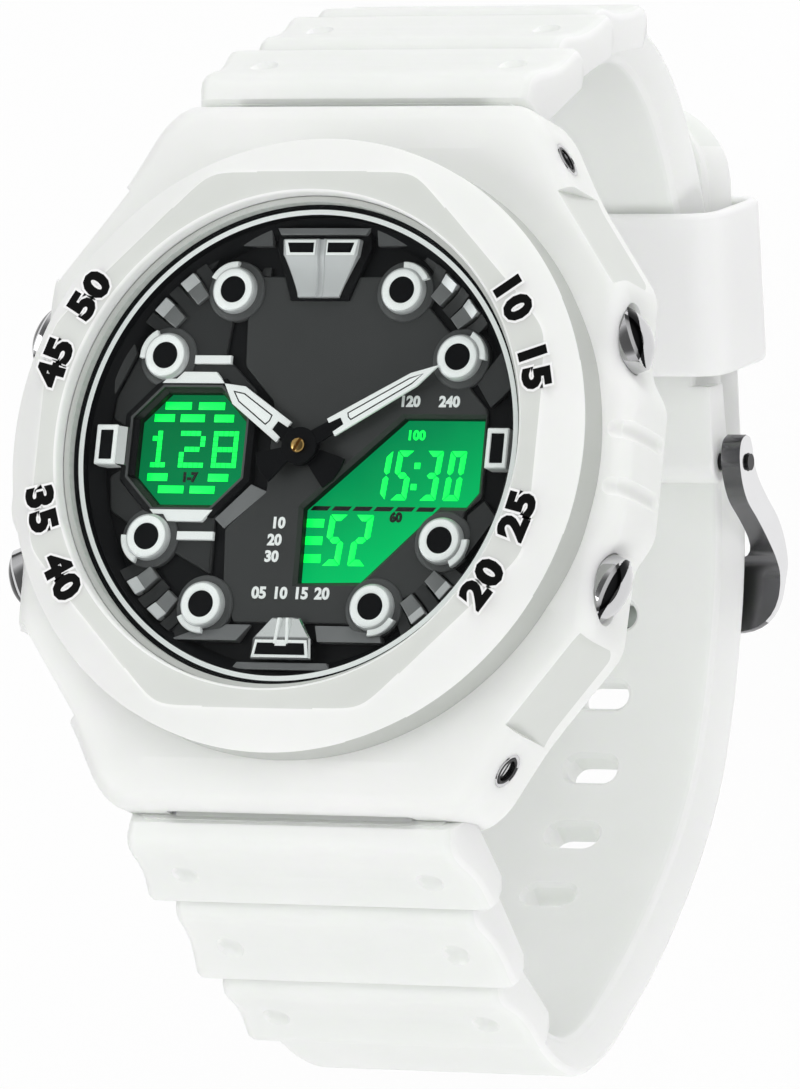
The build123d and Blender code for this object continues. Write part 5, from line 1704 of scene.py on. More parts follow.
@dataclass
class Buckle:
    """The polished steel buckle: its curved frame, prong and pin."""

    shop: Workshop
    pin: Point2 = BUCKLE_PIN
    pin_hole: float = 0.64
    half_width: float = 11.5
    arm: float = 1.45
    far_outer: float = -0.9
    far_inner: float = 4.3
    corner: float = 3.4
    inner_corner: float = 1.6
    inner_shares: tuple[Point2, ...] = (
        (0.157, 0.07), (0.113, 0.13), (0.052, 0.148), (-0.035, 0.13), (-0.148, 0.06),
        (-0.24, -0.05), (-0.31, -0.226), (-0.4, -0.426), (-0.5, -0.6), (-0.62, -0.68),
        (-0.939, -0.67),
    )
    outer_shares: tuple[Point2, ...] = (
        (-0.939, -0.722), (-0.61, -0.765), (-0.496, -0.778), (-0.417, -0.748), (-0.313, -0.661),
        (-0.226, -0.539), (-0.148, -0.357), (-0.07, -0.2), (0.009, -0.104), (0.104, -0.043),
        (0.157, 0.009),
    )
    side_share: float = 0.7
    edge_round: float = 0.3
    edge_angle: float = 42.0
    cut_low: float = -70.0
    cut_high: float = -30.0
    rest_size: Point2 = (4.4, 1.9)
    rest_place: Point3 = (0.2, 0.2, -47.72)
    prong_reach: float = 11.3
    prong_half: float = 0.8
    prong_thick: float = 0.5
    prong_eye: float = 1.2
    prong_ends: Point2 = (0.45, 0.8)
    prong_shares: tuple[Point2, ...] = (
        (0.0, 0.0), (-0.09, -0.05), (-0.3, -0.125), (-0.434, -0.283), (-0.341, -0.593),
        (-0.416, -0.814), (-0.531, -0.851), (-1.0, -0.818),
    )

    def side(self, points: tuple[Point2, ...], size: float) -> list[Point2]:
        """Side view points from their shares of a size, measured from the pin."""
        return [(self.pin[0] + y * size, self.pin[1] + z * size) for y, z in points]

    def build(self) -> None:
        """Make the frame and the prong."""
        half = self.half_width
        profile = smoothed(self.side(self.inner_shares, half), 4)
        profile += smoothed(self.side(self.outer_shares, half), 4)
        whole = Shape().slab(profile, -half, half, 0.0, 0.0, SIDE_ON)
        made = self.shop.rough("buckle_body", whole)
        plan = self._plan(half + 0.01, self.far_outer, self.corner, 8)
        self.shop.combine(made, [plan], Cut.MEET)
        gap = self._plan(half - self.arm, self.far_inner, self.inner_corner, 6)
        hole = Shape().tube([(-20.0, *self.pin), (20.0, *self.pin)], self.pin_hole, 24)
        self.shop.combine(made, [gap, hole], Cut.CARVE)
        self.shop.soften(made, self.edge_round, 4, self.edge_angle)
        self.shop.finish(made, "buckle_steel", "buckle", ("buckle_frame",), 50.0)
        # Painted highlight: faces turned sideways take the lighter steel copy.
        self.shop.add_painted_shading(made, "buckle_side_painted_highlight")
        for face in made.data.polygons:
            if abs(face.normal.x) > self.side_share:
                face.material_index = 1
        *middle, top = self.rest_place
        rest = Shape().slab(box_outline(*self.rest_size, middle), top - 0.3, top, 0.08)
        self.shop.piece("buckle_rest", rest, "prong_steel", "buckle")
        self._prong()

    def _plan(self, half: float, far: float, corner: float, steps: int) -> Shape:
        """A tall block over the frame, from its far side past the pin, with two round corners."""
        reach = self.pin[0] * 2
        plan = [(-half, far), (half, far), (half, reach), (-half, reach)]
        plan = filleted(plan, [corner, corner, 0.1, 0.1], steps)
        return Shape().slab(plan, self.cut_low, self.cut_high, 0.0)

    def _prong(self) -> None:
        """Make the prong: a flat bar bent along its path, with an eye on the pin."""
        smooth = smoothed(self.side(self.prong_shares, self.prong_reach), 6)
        rings = []
        for number, (y, z) in enumerate(smooth):
            before = smooth[max(number - 1, 0)]
            after = smooth[min(number + 1, len(smooth) - 1)]
            way = Vector((after[0] - before[0], after[1] - before[1])).normalized()
            out = (-way.y, way.x)
            spot = Seat((0.0, y, z), (1.0, 0.0, 0.0), (0.0, *out), (0.0, way.x, way.y))
            left = len(smooth) - 1 - number
            share = self.prong_ends[left] if left < len(self.prong_ends) else 1.0
            width = 2 * self.prong_half * (0.7 + 0.3 * share)
            bar = filleted(box_outline(width, 2 * self.prong_thick * share), 0.22 * share, 3)
            rings.append(spot.ring(bar, 0.0))
        bar = self.shop.rough("prong_bar", Shape().loft(rings))
        ring = Seat((-self.prong_half, *self.pin), SIDE_ON.across, SIDE_ON.up, SIDE_ON.out)
        outline = circle(self.prong_eye, 30)
        round_eye = Shape().slab(outline, 0.0, 2 * self.prong_half, 0.15, 0.15, ring)
        self.shop.combine(bar, [round_eye], Cut.JOIN)
        pin = [(-4.0, *self.pin), (4.0, *self.pin)]
        self.shop.combine(bar, [Shape().tube(pin, 0.65, 24)], Cut.CARVE)
        self.shop.finish(bar, "prong_steel", "prong", ("buckle_prong",), 40.0)


@dataclass
class Pushers:
    """Four chrome pushers with an oval domed face and a painted dark reflection band along its
    edge.
    """

    shop: Workshop
    seat_at: float = 21.6
    rim_at: float = 23.45
    top_at: float = 24.45
    half_length: float = 2.28
    half_width: float = 1.66
    shaft: float = 0.6
    shaft_start: float = 16.2
    shaft_drop: float = 0.5
    # The painted dark reflection band: its width, how far out it lies and how it widens.
    band: float = 0.5
    dark_reflection_reach: float = 0.9
    dark_reflection_swell: float = 0.5
    face_rings: int = 60
    dome_power: float = 2.2

    def outline(self, share: float) -> list[Point2]:
        """An oval, a little fuller than an ellipse."""
        return oval_outline(2 * self.half_length * share, 2 * self.half_width * share)

    def cap(self, seat: Seat) -> Shape:
        """The cap: a straight side and a low domed face that meets it at a crisp edge."""
        base = self.seat_at
        side = ((0.9, base), (0.97, base + 0.05), (1.0, base + 0.2), (1.0, self.rim_at - 0.15))
        rings = [seat.ring(self.outline(share), high) for share, high in side]
        crown = self.top_at - self.rim_at
        for number in range(self.face_rings + 1):
            share = max(1 - number / self.face_rings, 0.004)
            high = self.rim_at + crown * (1 - share**self.dome_power)
            rings.append(seat.ring(self.outline(share), high))
        return Shape().loft(rings)

    def build(self) -> None:
        """Make each pusher on its own body."""
        shaft = [(x, y - self.shaft_drop) for x, y in circle(self.shaft, 24)]
        for corner, hour in zip(CORNERS, HOURS):
            seat = pusher_seat(corner)
            made = self.shop.rough("pusher_cap_" + hour, self.cap(seat))
            ends = (self.shaft_start, self.seat_at + 0.5)
            rod = Shape().loft([seat.ring(shaft, end) for end in ends])
            self.shop.combine(made, [rod], Cut.JOIN)
            self.shop.finish(made, "pusher_chrome", "pusher_" + hour, ("pusher_" + hour,), 30.0)
            self._paint_dark_reflection(made, seat)

    def _paint_dark_reflection(self, made: bpy.types.Object, seat: Seat) -> None:
        """Paint a dark reflection as a band on a cap's face, beside the upper edge."""
        self.shop.add_painted_shading(made, "pusher_painted_dark_reflection")
        for face in made.data.polygons:
            place = face.center / MM - Vector(seat.origin)
            along = place.dot(Vector(seat.across)) / self.half_length
            if place.dot(Vector(seat.out)) < self.rim_at + 0.03 or abs(along) > 1:
                continue
            edge = self.dark_reflection_reach * self.half_width * sqrt(1 - along**2)
            width = self.band * (1 + self.dark_reflection_swell * along)
            if edge - width < place.dot(Vector(seat.up)) < edge:
                face.material_index = 1


@dataclass
class Dial:
    """The dark dial in several levels, with its frames, ramps and window walls."""

    shop: Workshop
    radius: float = 16.8
    under: float = 7.6
    face: float = 8.2
    block: float = 0.3
    hole: float = 1.1
    window_middle: Point2 = (-8.7, 0.0)
    window_size: Point2 = (7.9, 7.7)
    window_chamfer: float = 1.95
    field_outline: tuple[Point2, ...] = (
        (-5.1, 11.9), (6.4, 11.9), (7.5, 10.4), (10.0, 7.8), (11.7, 4.2), (13.1, 2.75),
        (13.3, -3.2), (12.1, -4.2), (12.0, -7.7), (9.6, -9.5), (4.6, -11.9), (-4.1, -11.9),
        (-5.1, -9.4), (-5.4, -5.5), (-2.6, -2.9), (-2.7, 3.2), (-5.1, 5.7), (-5.3, 8.8),
    )
    block_outline: tuple[Point2, ...] = (
        (-6.3, 9.6), (-6.6, 6.3), (-5.8, 5.6), (-4.1, 4.0), (-4.1, -1.9), (-4.9, -2.75),
        (-6.2, -4.9), (-6.1, -8.7), (-11.4, -6.0), (-14.1, -4.4), (-14.4, -2.0), (-13.6, -1.5),
        (-13.6, 1.5), (-14.6, 2.0), (-14.5, 3.4), (-13.1, 6.3), (-9.3, 12.2), (-7.6, 11.2),
    )
    ramps: tuple[tuple[str, tuple[Point3, ...]], ...] = (
        ("dial_silver_and_highlight", ((-6.2, -4.85, 8.53), (-3.75, -2.45, 8.53), (-2.5, -2.95, 8.5),
                         (-5.45, -5.5, 8.5))),
        ("dial_silver_and_highlight", ((-8.5, -13.25, 9.0), (-3.5, -13.25, 9.0), (-2.75, -12.05, 8.5),
                         (-5.7, -12.05, 8.5))),
        ("dial_silver_and_highlight", ((2.5, -13.25, 9.0), (7.2, -13.25, 9.0), (6.9, -12.5, 8.7),
                         (5.2, -12.05, 8.5), (2.0, -12.05, 8.5))),
        ("dial_block", ((-9.4, -13.2, 8.8), (-8.4, -13.2, 8.9), (-5.9, -12.05, 8.4),
                        (-8.0, -11.6, 8.35))),
        ("dial_middle", ((-8.0, 13.95, 8.75), (-6.7, 14.75, 9.1), (-3.9, 15.3, 9.1),
                         (-3.9, 13.95, 8.6))),
        ("dial_middle", ((8.0, 13.95, 8.75), (3.9, 13.95, 8.6), (3.9, 15.3, 9.1),
                         (6.7, 14.75, 9.1))),
        ("dial_block", ((-8.5, 13.9, 9.0), (-7.6, 13.2, 8.6), (-8.7, 11.9, 8.5),
                        (-10.8, 11.4, 9.0))),
        ("dial_block", ((8.5, 13.9, 9.0), (10.4, 12.0, 9.0), (8.8, 11.6, 8.5), (7.4, 13.0, 8.6))),
        ("dial_block", ((-3.9, 11.9, 8.48), (-4.9, 11.95, 8.3), (-4.5, 12.55, 8.3),
                        (-3.9, 12.5, 8.45))),
        ("dial_block", ((13.3, 2.95, 8.5), (14.9, 4.3, 8.85), (14.0, 6.9, 8.85),
                        (12.1, 4.6, 8.45))),
        ("dial_block", ((13.5, -3.4, 8.5), (12.3, -4.4, 8.4), (12.6, -7.4, 8.8),
                        (14.6, -4.6, 8.85))),
        ("dial_grey", ((-14.9, 4.2, 8.85), (-14.65, 3.6, 8.5), (-13.3, 6.5, 8.5),
                       (-13.6, 7.7, 8.85))),
    )
    ramp_round: float = 0.05
    rim_inner: float = 14.9
    rim_outer: float = 15.75
    rim_height: float = 9.3

    def octagon(self) -> list[Point2]:
        """The octagonal window's outline."""
        x, y = self.window_middle
        w, h = self.window_size[0] / 2, self.window_size[1] / 2
        c = self.window_chamfer
        return [(x + w, y - h + c), (x + w, y + h - c), (x + w - c, y + h), (x - w + c, y + h),
                (x - w, y + h - c), (x - w, y - h + c), (x - w + c, y - h), (x + w - c, y - h)]

    def time_window(self) -> list[Point2]:
        """The slanted window of the time screen."""
        shares = ((0.012, -0.238), (0.417, 0.131), (0.765, 0.131), (0.768, -0.167), (0.72, -0.226),
                  (0.607, -0.226), (0.292, -0.536), (0.018, -0.542))
        return [(x * self.radius, y * self.radius) for x, y in shares]

    def _windows(self) -> list[Shape]:
        """What is cut out of every level: both windows and the middle hole."""
        cuts = []
        for outline in (self.octagon(), self.time_window()):
            outline = anticlockwise(outline)
            wide = inset(outline, -0.28)
            top = self.face + self.block
            rings = [FLAT.ring(outline, 7.0), FLAT.ring(outline, top - 0.34),
                     FLAT.ring(wide, top + 0.01), FLAT.ring(wide, 9.6)]
            cuts.append(Shape().loft(rings))
        cuts.append(Shape().slab(circle(self.hole, 36), 7.0, 9.5, 0.0))
        return cuts

    def build(self) -> None:
        """Make every level of the dial."""
        disc = Shape().slab(circle(self.radius, 120), self.under, self.face, 0.05)
        base = self.shop.rough("dial_base", disc)
        self.shop.combine(base, self._windows(), Cut.CARVE)
        self.shop.finish(base, "dial_dark", nodes=("dial_plate",))
        top = self.face + self.block
        for name, finish, outline in (("dial_field", "dial_grey", self.field_outline),
                                      ("dial_block", "dial_block", self.block_outline)):
            soft = filleted(list(outline), 0.25, 3)
            made = self.shop.rough(name, Shape().slab(soft, self.face - 0.02, top, 0.14))
            self.shop.combine(made, self._windows(), Cut.CARVE)
            self.shop.finish(made, finish, sharp=30.0)
        self._frame(top)
        self._ramps()
        self._rim()

    def _frame(self, top: float) -> None:
        """The raised frame of the octagonal window, with its lighter line."""
        levels = ((1.0, top - 0.3), (0.95, top + 0.02), (0.88, top + 0.16), (0.6, top + 0.26),
                  (0.36, top + 0.26), (0.29, top + 0.2), (0.28, top - 0.1))
        self._window_ring("window_frame", "dial_dark", levels)
        levels = ((0.46, top + 0.1), (0.46, top + 0.27), (0.3, top + 0.27), (0.285, top + 0.1))
        self._window_ring("window_line", "dial_middle", levels)

    def _window_ring(self, name: str, finish: str, levels: tuple[Point2, ...]) -> None:
        """A closed ring round the octagonal window, from how far out and how high it runs."""
        outline = anticlockwise(self.octagon())
        rings = [FLAT.ring(inset(outline, -grow), high) for grow, high in levels]
        self.shop.piece(name, Shape().loft(rings, loop=True), finish, sharp=FINE_SHARP)

    def _ramps(self) -> None:
        """The sloping facets round the dial's lower and upper edges."""
        # Ramps in the lighter copy carry a silver facet finish and a painted highlight.
        for number, (finish, corners) in enumerate(self.ramps):
            low = [(x, y, self.face - 0.05) for x, y, _ in corners]
            made = self.shop.rough(f"dial_ramp_{number + 1}", Shape().loft([low, list(corners)]))
            self.shop.soften(made, self.ramp_round, 2)
            self.shop.finish(made, finish, sharp=FINE_SHARP)

    def _rim(self) -> None:
        """The dark stepped rim that carries the outer markers."""
        profile = [(self.rim_inner, self.face - 0.02), (self.rim_inner, self.face + 0.1),
                   (self.rim_inner + 0.1, self.face + 0.2), (self.rim_outer, self.rim_height),
                   (self.rim_outer, self.face - 0.02)]
        self.shop.piece("dial_rim", Shape().spun(profile, 144), "dial_dark", sharp=FINE_SHARP)


@dataclass
class Markers:
    """The applied markers: pegs, the two trapezoids, the side frames, blocks and bars."""

    shop: Workshop
    repeater: Repeater
    peg_ring: float = 12.5
    peg_hours: tuple[int, ...] = (1, 2, 4, 5, 7, 8, 10, 11)
    floor: float = 8.2
    top: float = 9.3
    corner_radius: float = 14.3
    corner_spread: float = 4.75
    side_x: float = 14.4
    low: float = 9.0
    window_high: float = 9.35
    bar_place: Point2 = (-7.44, 6.07)

    def _peg(self) -> Shape:
        """A hollow peg with a soft crest, and a small lug on its outer side."""
        t = self.top - self.floor
        profile = [(0.0, 0.2), (0.9, 0.2), (0.9, t - 0.1), (0.93, t - 0.04), (1.0, t),
                   (1.32, t + 0.01), (1.39, t - 0.02), (1.42, t - 0.08), (1.42, 0.0), (0.0, 0.0)]
        tab = arc((0, 0), 1.98, -34, 34, 12) + arc((0, 0), 1.45, 34, -34, 12)
        return Shape().spun(profile, 56).joined(Shape().slab(tab, 0.2, t - 0.2, 0.1))

    def _pegs(self) -> None:
        """Set a peg, its dark foot and its black middle at each hour."""
        places = []
        for hour in self.peg_hours:
            x, y = at_hour(self.peg_ring, hour)
            places.append(((x, y, self.floor), 90.0 - hour * HOUR_ANGLE))
        repeat = self.repeater.repeat
        repeat("index_pegs_set", self._peg(), places, "marker_satin", nodes=("index_pegs",))
        t = self.top - self.floor
        rim = [(1.41, 0.1), (1.41, t - 0.07), (1.48, t - 0.09), (1.55, t - 0.18), (1.6, t - 0.34),
               (1.62, 0.3), (1.62, 0.1)]
        repeat("peg_rims", Shape().spun(rim, 56), places, "marker_silver")
        foot = [(0.0, 0.0), (2.08, 0.0), (2.08, 0.36), (2.02, 0.44), (1.75, 0.5), (1.66, 0.58),
                (0.0, 0.58)]
        repeat("peg_feet", Shape().spun(foot, 56), places, "dial_middle")
        disc = Shape().slab(circle(0.93, 36), 0.3, t - 0.06, 0.03)
        repeat("peg_middles", disc, places, "hand_black")

    def _twelve(self) -> None:
        """The 12 marker: a housing, a framed head with two dark windows and a polished slope."""
        housing = mirrored([(-3.4, 14.95), (-3.5, 13.8), (-2.15, 10.2)])
        shape = Shape().slab(housing, self.floor - 0.02, 8.75, 0.12)
        self.shop.piece("twelve_housing", shape, "dial_dark", sharp=FINE_SHARP)
        strip = mirrored([(-3.45, 15.12), (-3.15, 14.62)])
        # The strip takes the lighter dial copy: silver finish and painted highlight.
        self.shop.piece("twelve_strip", Shape().slab(strip, 8.5, 9.1, 0.08), "dial_silver_and_highlight")
        stations = [(14.32, 2.8, 9.1), (14.3, 2.82, 9.27), (14.24, 2.84, 9.3), (13.2, 2.74, 9.3),
                    (13.1, 2.66, 9.27), (12.5, 2.38, 9.12), (11.8, 2.06, 9.02), (11.1, 1.76, 8.97),
                    (10.62, 1.58, 8.96), (10.5, 1.55, 9.0), (10.38, 1.52, 9.0), (10.34, 1.5, 8.85)]
        rings = []
        for y, half, high in stations:
            section = mirrored([
                (-half, 8.5), (-half, high - 0.06), (-half + 0.1, high), (-0.34, high),
                (-0.3, high + 0.07), (-0.2, high + 0.07), (-0.12, high - 0.12),
            ])
            rings.append([(x, y, z) for x, z in section])
        shape = Shape().loft(rings)
        self.shop.piece("twelve_marker", shape, "marker_silver", nodes=("marker_12",), sharp=20.0)
        rims, windows = Shape(), Shape()
        window = ((0.52, 14.04), (2.46, 14.04), (2.24, 13.36), (0.52, 13.36))
        rim = ((0.4, 14.24), (2.72, 14.24), (2.52, 13.18), (0.4, 13.18))
        for side in (1, -1):
            windows.slab([(side * x, y) for x, y in window], self.low, self.window_high, 0.02)
            rims.slab([(side * x, y) for x, y in rim], self.low, 9.33, 0.05)
        self.shop.piece("twelve_rims", rims, "marker_satin")
        self.shop.piece("twelve_windows", windows, "hand_black")

    def _six(self) -> None:
        """The 6 marker: a smaller trapezoid with one dark window near the edge."""
        stations = [(-14.5, 2.2, 9.1), (-14.42, 2.24, 9.26), (-13.1, 2.12, 9.3),
                    (-12.95, 2.02, 9.26), (-11.7, 1.12, 8.95), (-11.6, 1.07, 8.85)]
        rings = []
        for y, half, high in stations:
            section = mirrored([(-half, 8.4), (-half, high - 0.1), (-half + 0.12, high)])
            rings.append([(x, y, z) for x, z in section])
        shape = Shape().loft(rings)
        self.shop.piece("six_marker", shape, "marker_chrome", nodes=("marker_6",), sharp=20.0)
        window = mirrored([(-0.42, -13.62), (-0.42, -13.42), (-1.72, -13.42), (-1.86, -14.22)])
        rim = mirrored([(-1.9, -13.2), (-2.12, -14.42)])
        self.shop.piece("six_rim", Shape().slab(rim, self.low, 9.32, 0.05), "marker_satin")
        shape = Shape().slab(window, self.low, self.window_high, 0.02)
        self.shop.piece("six_window", shape, "hand_black")
        ridges = Shape()
        for side in (1, -1):
            ridges.slab([(side * 0.34, -13.5), (side * 0.56, -13.5), (side * 0.4, -11.7),
                         (side * 0.2, -11.7)], 8.9, 9.36, 0.05)
        self.shop.piece("six_ridges", ridges, "marker_satin")
        strip = mirrored([(-3.3, -14.68), (-3.7, -15.2)])
        # The strip takes the lighter dial copy: silver finish and painted highlight.
        self.shop.piece("six_strip", Shape().slab(strip, 8.3, 8.95, 0.08), "dial_silver_and_highlight")

    def _sides(self) -> None:
        """The 3 and 9 markers: open frames round a dark middle, the left one with a slope."""
        frames, middles = Shape(), Shape()
        high = self.top + 0.2
        for side in (1, -1):
            middle = (side * (self.side_x + 0.05), 0.0)
            outer = anticlockwise(filleted(box_outline(1.6, 2.75, middle), 0.1, 2))
            inner = anticlockwise(filleted(box_outline(0.92, 2.0, middle), 0.05, 2))
            rings = [FLAT.ring(outer, self.floor), FLAT.ring(outer, high - 0.1),
                     FLAT.ring(inset(outer, 0.08), high), FLAT.ring(inset(inner, -0.05), high),
                     FLAT.ring(inner, high - 0.08), FLAT.ring(inner, self.floor)]
            frames.loft(rings, loop=True)
            middles.slab(box_outline(0.96, 2.04, middle), self.floor, high - 0.07, 0.02)
        left, floor = 0.8 - self.side_x - 0.05, self.floor
        slope = [(left, high - 0.06), (left + 0.5, high - 0.5), (left + 0.62, floor + 0.2),
                 (left, floor + 0.2)]
        slopes = Shape().slab(slope, -1.33, 1.33, 0.05, 0.05, FRONT_ON)
        foot = box_outline(1.0, 4.0, (left + 0.7, 0.0))
        feet = Shape().slab(foot, floor, floor + 0.42, 0.12)
        self.shop.piece(
            "side_frames", frames, "marker_satin", nodes=("markers_3_9",), sharp=FINE_SHARP
        )
        self.shop.piece("side_middles", middles, "hand_black")
        self.shop.piece("side_slopes", slopes, "marker_chrome")
        self.shop.piece("side_feet", feet, "dial_dark")

    def _blocks(self) -> None:
        """The small stepped blocks on the four diagonals, bright ones between dark ones."""
        bright, dark = [], []
        for side in range(4):
            middle = 45.0 + 90.0 * side
            for shift in (-1, 1):
                angle = middle + shift * self.corner_spread
                bright.append(((*polar(self.corner_radius, angle), self.floor), angle))
            for shift in (-1.95, 0, 1.95):
                angle = middle + shift * self.corner_spread
                dark.append(((*polar(self.corner_radius - 0.1, angle), self.floor), angle))
        block = Shape().slab([(-1.0, -0.5), (0.5, -0.6), (0.5, 0.6), (-1.0, 0.5)], 0.0, 0.62, 0.08)
        repeat = self.repeater.repeat
        repeat("corner_blocks_set", block, bright, "marker_grey", nodes=("corner_blocks",))
        tip = Shape()
        rise = [(0.2, 0.66), (0.85, 0.98), (0.9, 0.95), (0.9, 0.2), (0.2, 0.2)]
        tip.slab(rise, -0.58, 0.58, 0.04, 0.04, FRONT_ON)
        repeat("corner_tips", tip, bright, "marker_silver")
        step = [(-1.0, 0.3), (0.2, 0.34), (1.1, 0.75), (1.1, 0.1), (-1.0, 0.1)]
        riser = Shape().slab(step, -0.44, 0.44, 0.06, 0.06, FRONT_ON)
        repeat("corner_steps", riser, dark, "dial_block")

    def _bars(self) -> None:
        """The white bars and brackets over and under the octagonal window."""
        x, y = self.bar_place
        bars = Shape()
        for side in (1, -1):
            bars.slab(box_outline(2.7, 0.58, (x, side * y)), 8.45, 8.78, 0.06)
        self.shop.piece("index_bars_set", bars, "hand_white", nodes=("index_bars",))
        brackets = Shape()
        brackets.slab([(-11.0, 4.42), (-6.35, 4.42), (-7.05, 5.2), (-9.45, 5.2), (-9.95, 4.72),
                       (-10.7, 4.72)], 8.45, 8.84, 0.05)
        brackets.slab([(-11.0, -4.3), (-10.7, -4.62), (-9.95, -4.62), (-9.6, -5.1), (-7.05, -5.1),
                       (-6.3, -4.3)], 8.45, 8.84, 0.05)
        self.shop.piece("window_brackets", brackets, "hand_white")

    def build(self) -> None:
        """Make every marker."""
        self._pegs()
        self._twelve()
        self._six()
        self._sides()
        self._blocks()
        self._bars()


@dataclass(frozen=True)
class Figure:
    """The size and lean of a bar figure on the screen."""

    width: float
    height: float
    stroke: float
    lean: float = 0.09
    gap: float = 0.05


SEGMENTS: dict[str, str] = {
    "0": "abcdef", "1": "bc", "2": "abged", "3": "abgcd", "4": "fgbc", "5": "afgcd",
    "6": "afgcde", "7": "abc", "8": "abcdefg", "9": "abfgcd",
}
DOTS: dict[str, tuple[str, ...]] = {
    "1": ("..#..", ".##..", "..#..", "..#..", "..#..", "..#..", ".###."),
    "2": ("####.", "....#", "....#", ".###.", "#....", "#....", "#####"),
    "8": ("#####", "#...#", "#...#", "#####", "#...#", "#...#", "#####"),
}


@dataclass
class Screens:
    """What the two screens show: bar figures, dots, bars and small plain numbers."""

    shop: Workshop
    repeater: Repeater
    glass: float = 7.5
    lamp: float = 0.05
    sink: float = 0.02
    dot_pitch: float = 0.365
    dots_corner: Point2 = (-12.15, 1.22)
    dial_top: float = 8.5
    big: Figure = Figure(1.18, 3.4, 0.4)
    seconds: Figure = Figure(1.3, 3.5, 0.43)

    def segment(self, figure: Figure, key: str, corner: Point2) -> list[Point2]:
        """One bar of a figure, with slanted ends.

        Args:
            figure: the figure's size.
            key: which bar, from a to g.
            corner: lower left corner of the figure.

        Returns:
            The outline of the bar.
        """
        w, h, s, g = figure.width, figure.height, figure.stroke, figure.gap
        upright = [(0.0, g), (s, s + g), (s, h / 2 - s / 2 - g), (s / 2, h / 2 - g),
                   (0.0, h / 2 - s / 2)]
        level = [(g, 0.0), (w - g, 0.0), (w - s - g, s), (s + g, s)]
        middle = [(s / 2 + g, h / 2), (s + g, h / 2 - s / 2), (w - s - g, h / 2 - s / 2),
                  (w - s / 2 - g, h / 2), (w - s - g, h / 2 + s / 2), (s + g, h / 2 + s / 2)]
        shapes = {
            "d": level,
            "a": [(x, h - y) for x, y in level],
            "e": upright,
            "c": [(w - x, y) for x, y in upright],
            "f": [(x, h - y) for x, y in upright],
            "b": [(w - x, h - y) for x, y in upright],
            "g": middle,
        }
        return [(corner[0] + x + y * figure.lean, corner[1] + y) for x, y in shapes[key]]

    def _light(self, lamps: Shape, outline: list[Point2]) -> None:
        """Add one lit area on the glass."""
        lamps.slab(outline, self.glass - self.sink, self.glass + self.lamp, self.sink)

    def _figures(self, lamps: Shape) -> None:
        """The time and the seconds in bar figures."""
        rows = ((self.big, -3.22, (("1", 4.55), ("5", 6.12), ("3", 8.27), ("0", 9.98))),
                (self.seconds, -7.75, (("5", 1.58), ("2", 3.48))))
        for figure, low, digits in rows:
            for text, left in digits:
                for key in SEGMENTS[text]:
                    self._light(lamps, self.segment(figure, key, (left, low)))
        for y in (-2.3, -0.85):
            self._light(lamps, box_outline(0.42, 0.42, (7.98 + y * self.big.lean, y)))
        for y in (-4.85, -6.05, -7.28):
            self._light(lamps, box_outline(1.42, 0.58, (0.75, y)))

    def _bars(self, lamps: Shape) -> None:
        """The short bars above and below the dots."""
        rows = ((3.12, (-10.25, 1.95), (-7.75, 1.95)),
                (2.27, (-11.2, 1.5), (-9.1, 1.8), (-6.75, 1.45)),
                (-1.82, (-11.3, 1.5), (-6.75, 1.5)),
                (-2.66, (-10.2, 1.9), (-7.85, 1.85)))
        for y, *bars in rows:
            for x, width in bars:
                self._light(lamps, box_outline(width, 0.52, (x, y)))

    def _dots(self) -> None:
        """Three dotted figures, each lit dot a small square."""
        places = []
        left, top = self.dots_corner
        for number, text in enumerate("128"):
            for row, line in enumerate(DOTS[text]):
                for column, mark in enumerate(line):
                    if mark == "#":
                        x = left + (number * 6.5 + column) * self.dot_pitch * 1.04
                        y = top - row * self.dot_pitch
                        places.append(((x, y, self.glass - self.sink), 0.0))
        dot = Shape().slab(box_outline(0.34, 0.33), 0.0, self.lamp, 0.0)
        self.repeater.repeat("dotted_figures", dot, places, "lamp_green")

    def build(self) -> None:
        """Light the screens and print the small numbers."""
        lamps = Shape()
        self._figures(lamps)
        self._bars(lamps)
        lamps.joined(self.shop.lettering("100", 0.66, Seat((7.6, 1.2, self.glass)), 0.05, 0.03))
        self.shop.piece("lit_figures", lamps, "lamp_green")
        self._dots()
        ink = Shape()
        tick = ((0.0, -3.98), (1.25, -3.98), (1.5, -3.68), (0.25, -3.68))
        low, high = self.glass - self.sink, self.glass + 0.03
        for number in range(6):
            left = 0.35 + number * 1.55
            ink.slab([(left + x, y) for x, y in tick], low, high, 0.0)
        for text, x, y in (("60", 6.7, -4.42), ("1-7", -8.9, -1.84)):
            ink.joined(self.shop.lettering(text, 0.62, Seat((x, y, self.glass)), 0.04, 0.06))
        self.shop.piece("screen_print", ink, "screen_ink")
        figures = Shape()
        numbers = [("120", 7.35, 3.3, 0.72), ("240", 10.25, 3.3, 0.72), ("10", -1.45, -5.1, 0.74),
                   ("20", -1.6, -6.27, 0.74), ("30", -1.7, -7.4, 0.74)]
        for number, text in enumerate(("05", "10", "15", "20")):
            numbers.append((text, -2.35 + number * 1.55, -9.9, 0.78))
        for text, x, y, size in numbers:
            place = Seat((x, y, self.dial_top))
            figures.joined(self.shop.lettering(text, size, place, 0.025, 0.05))
        self.shop.piece("dial_figures", figures, "hand_white")


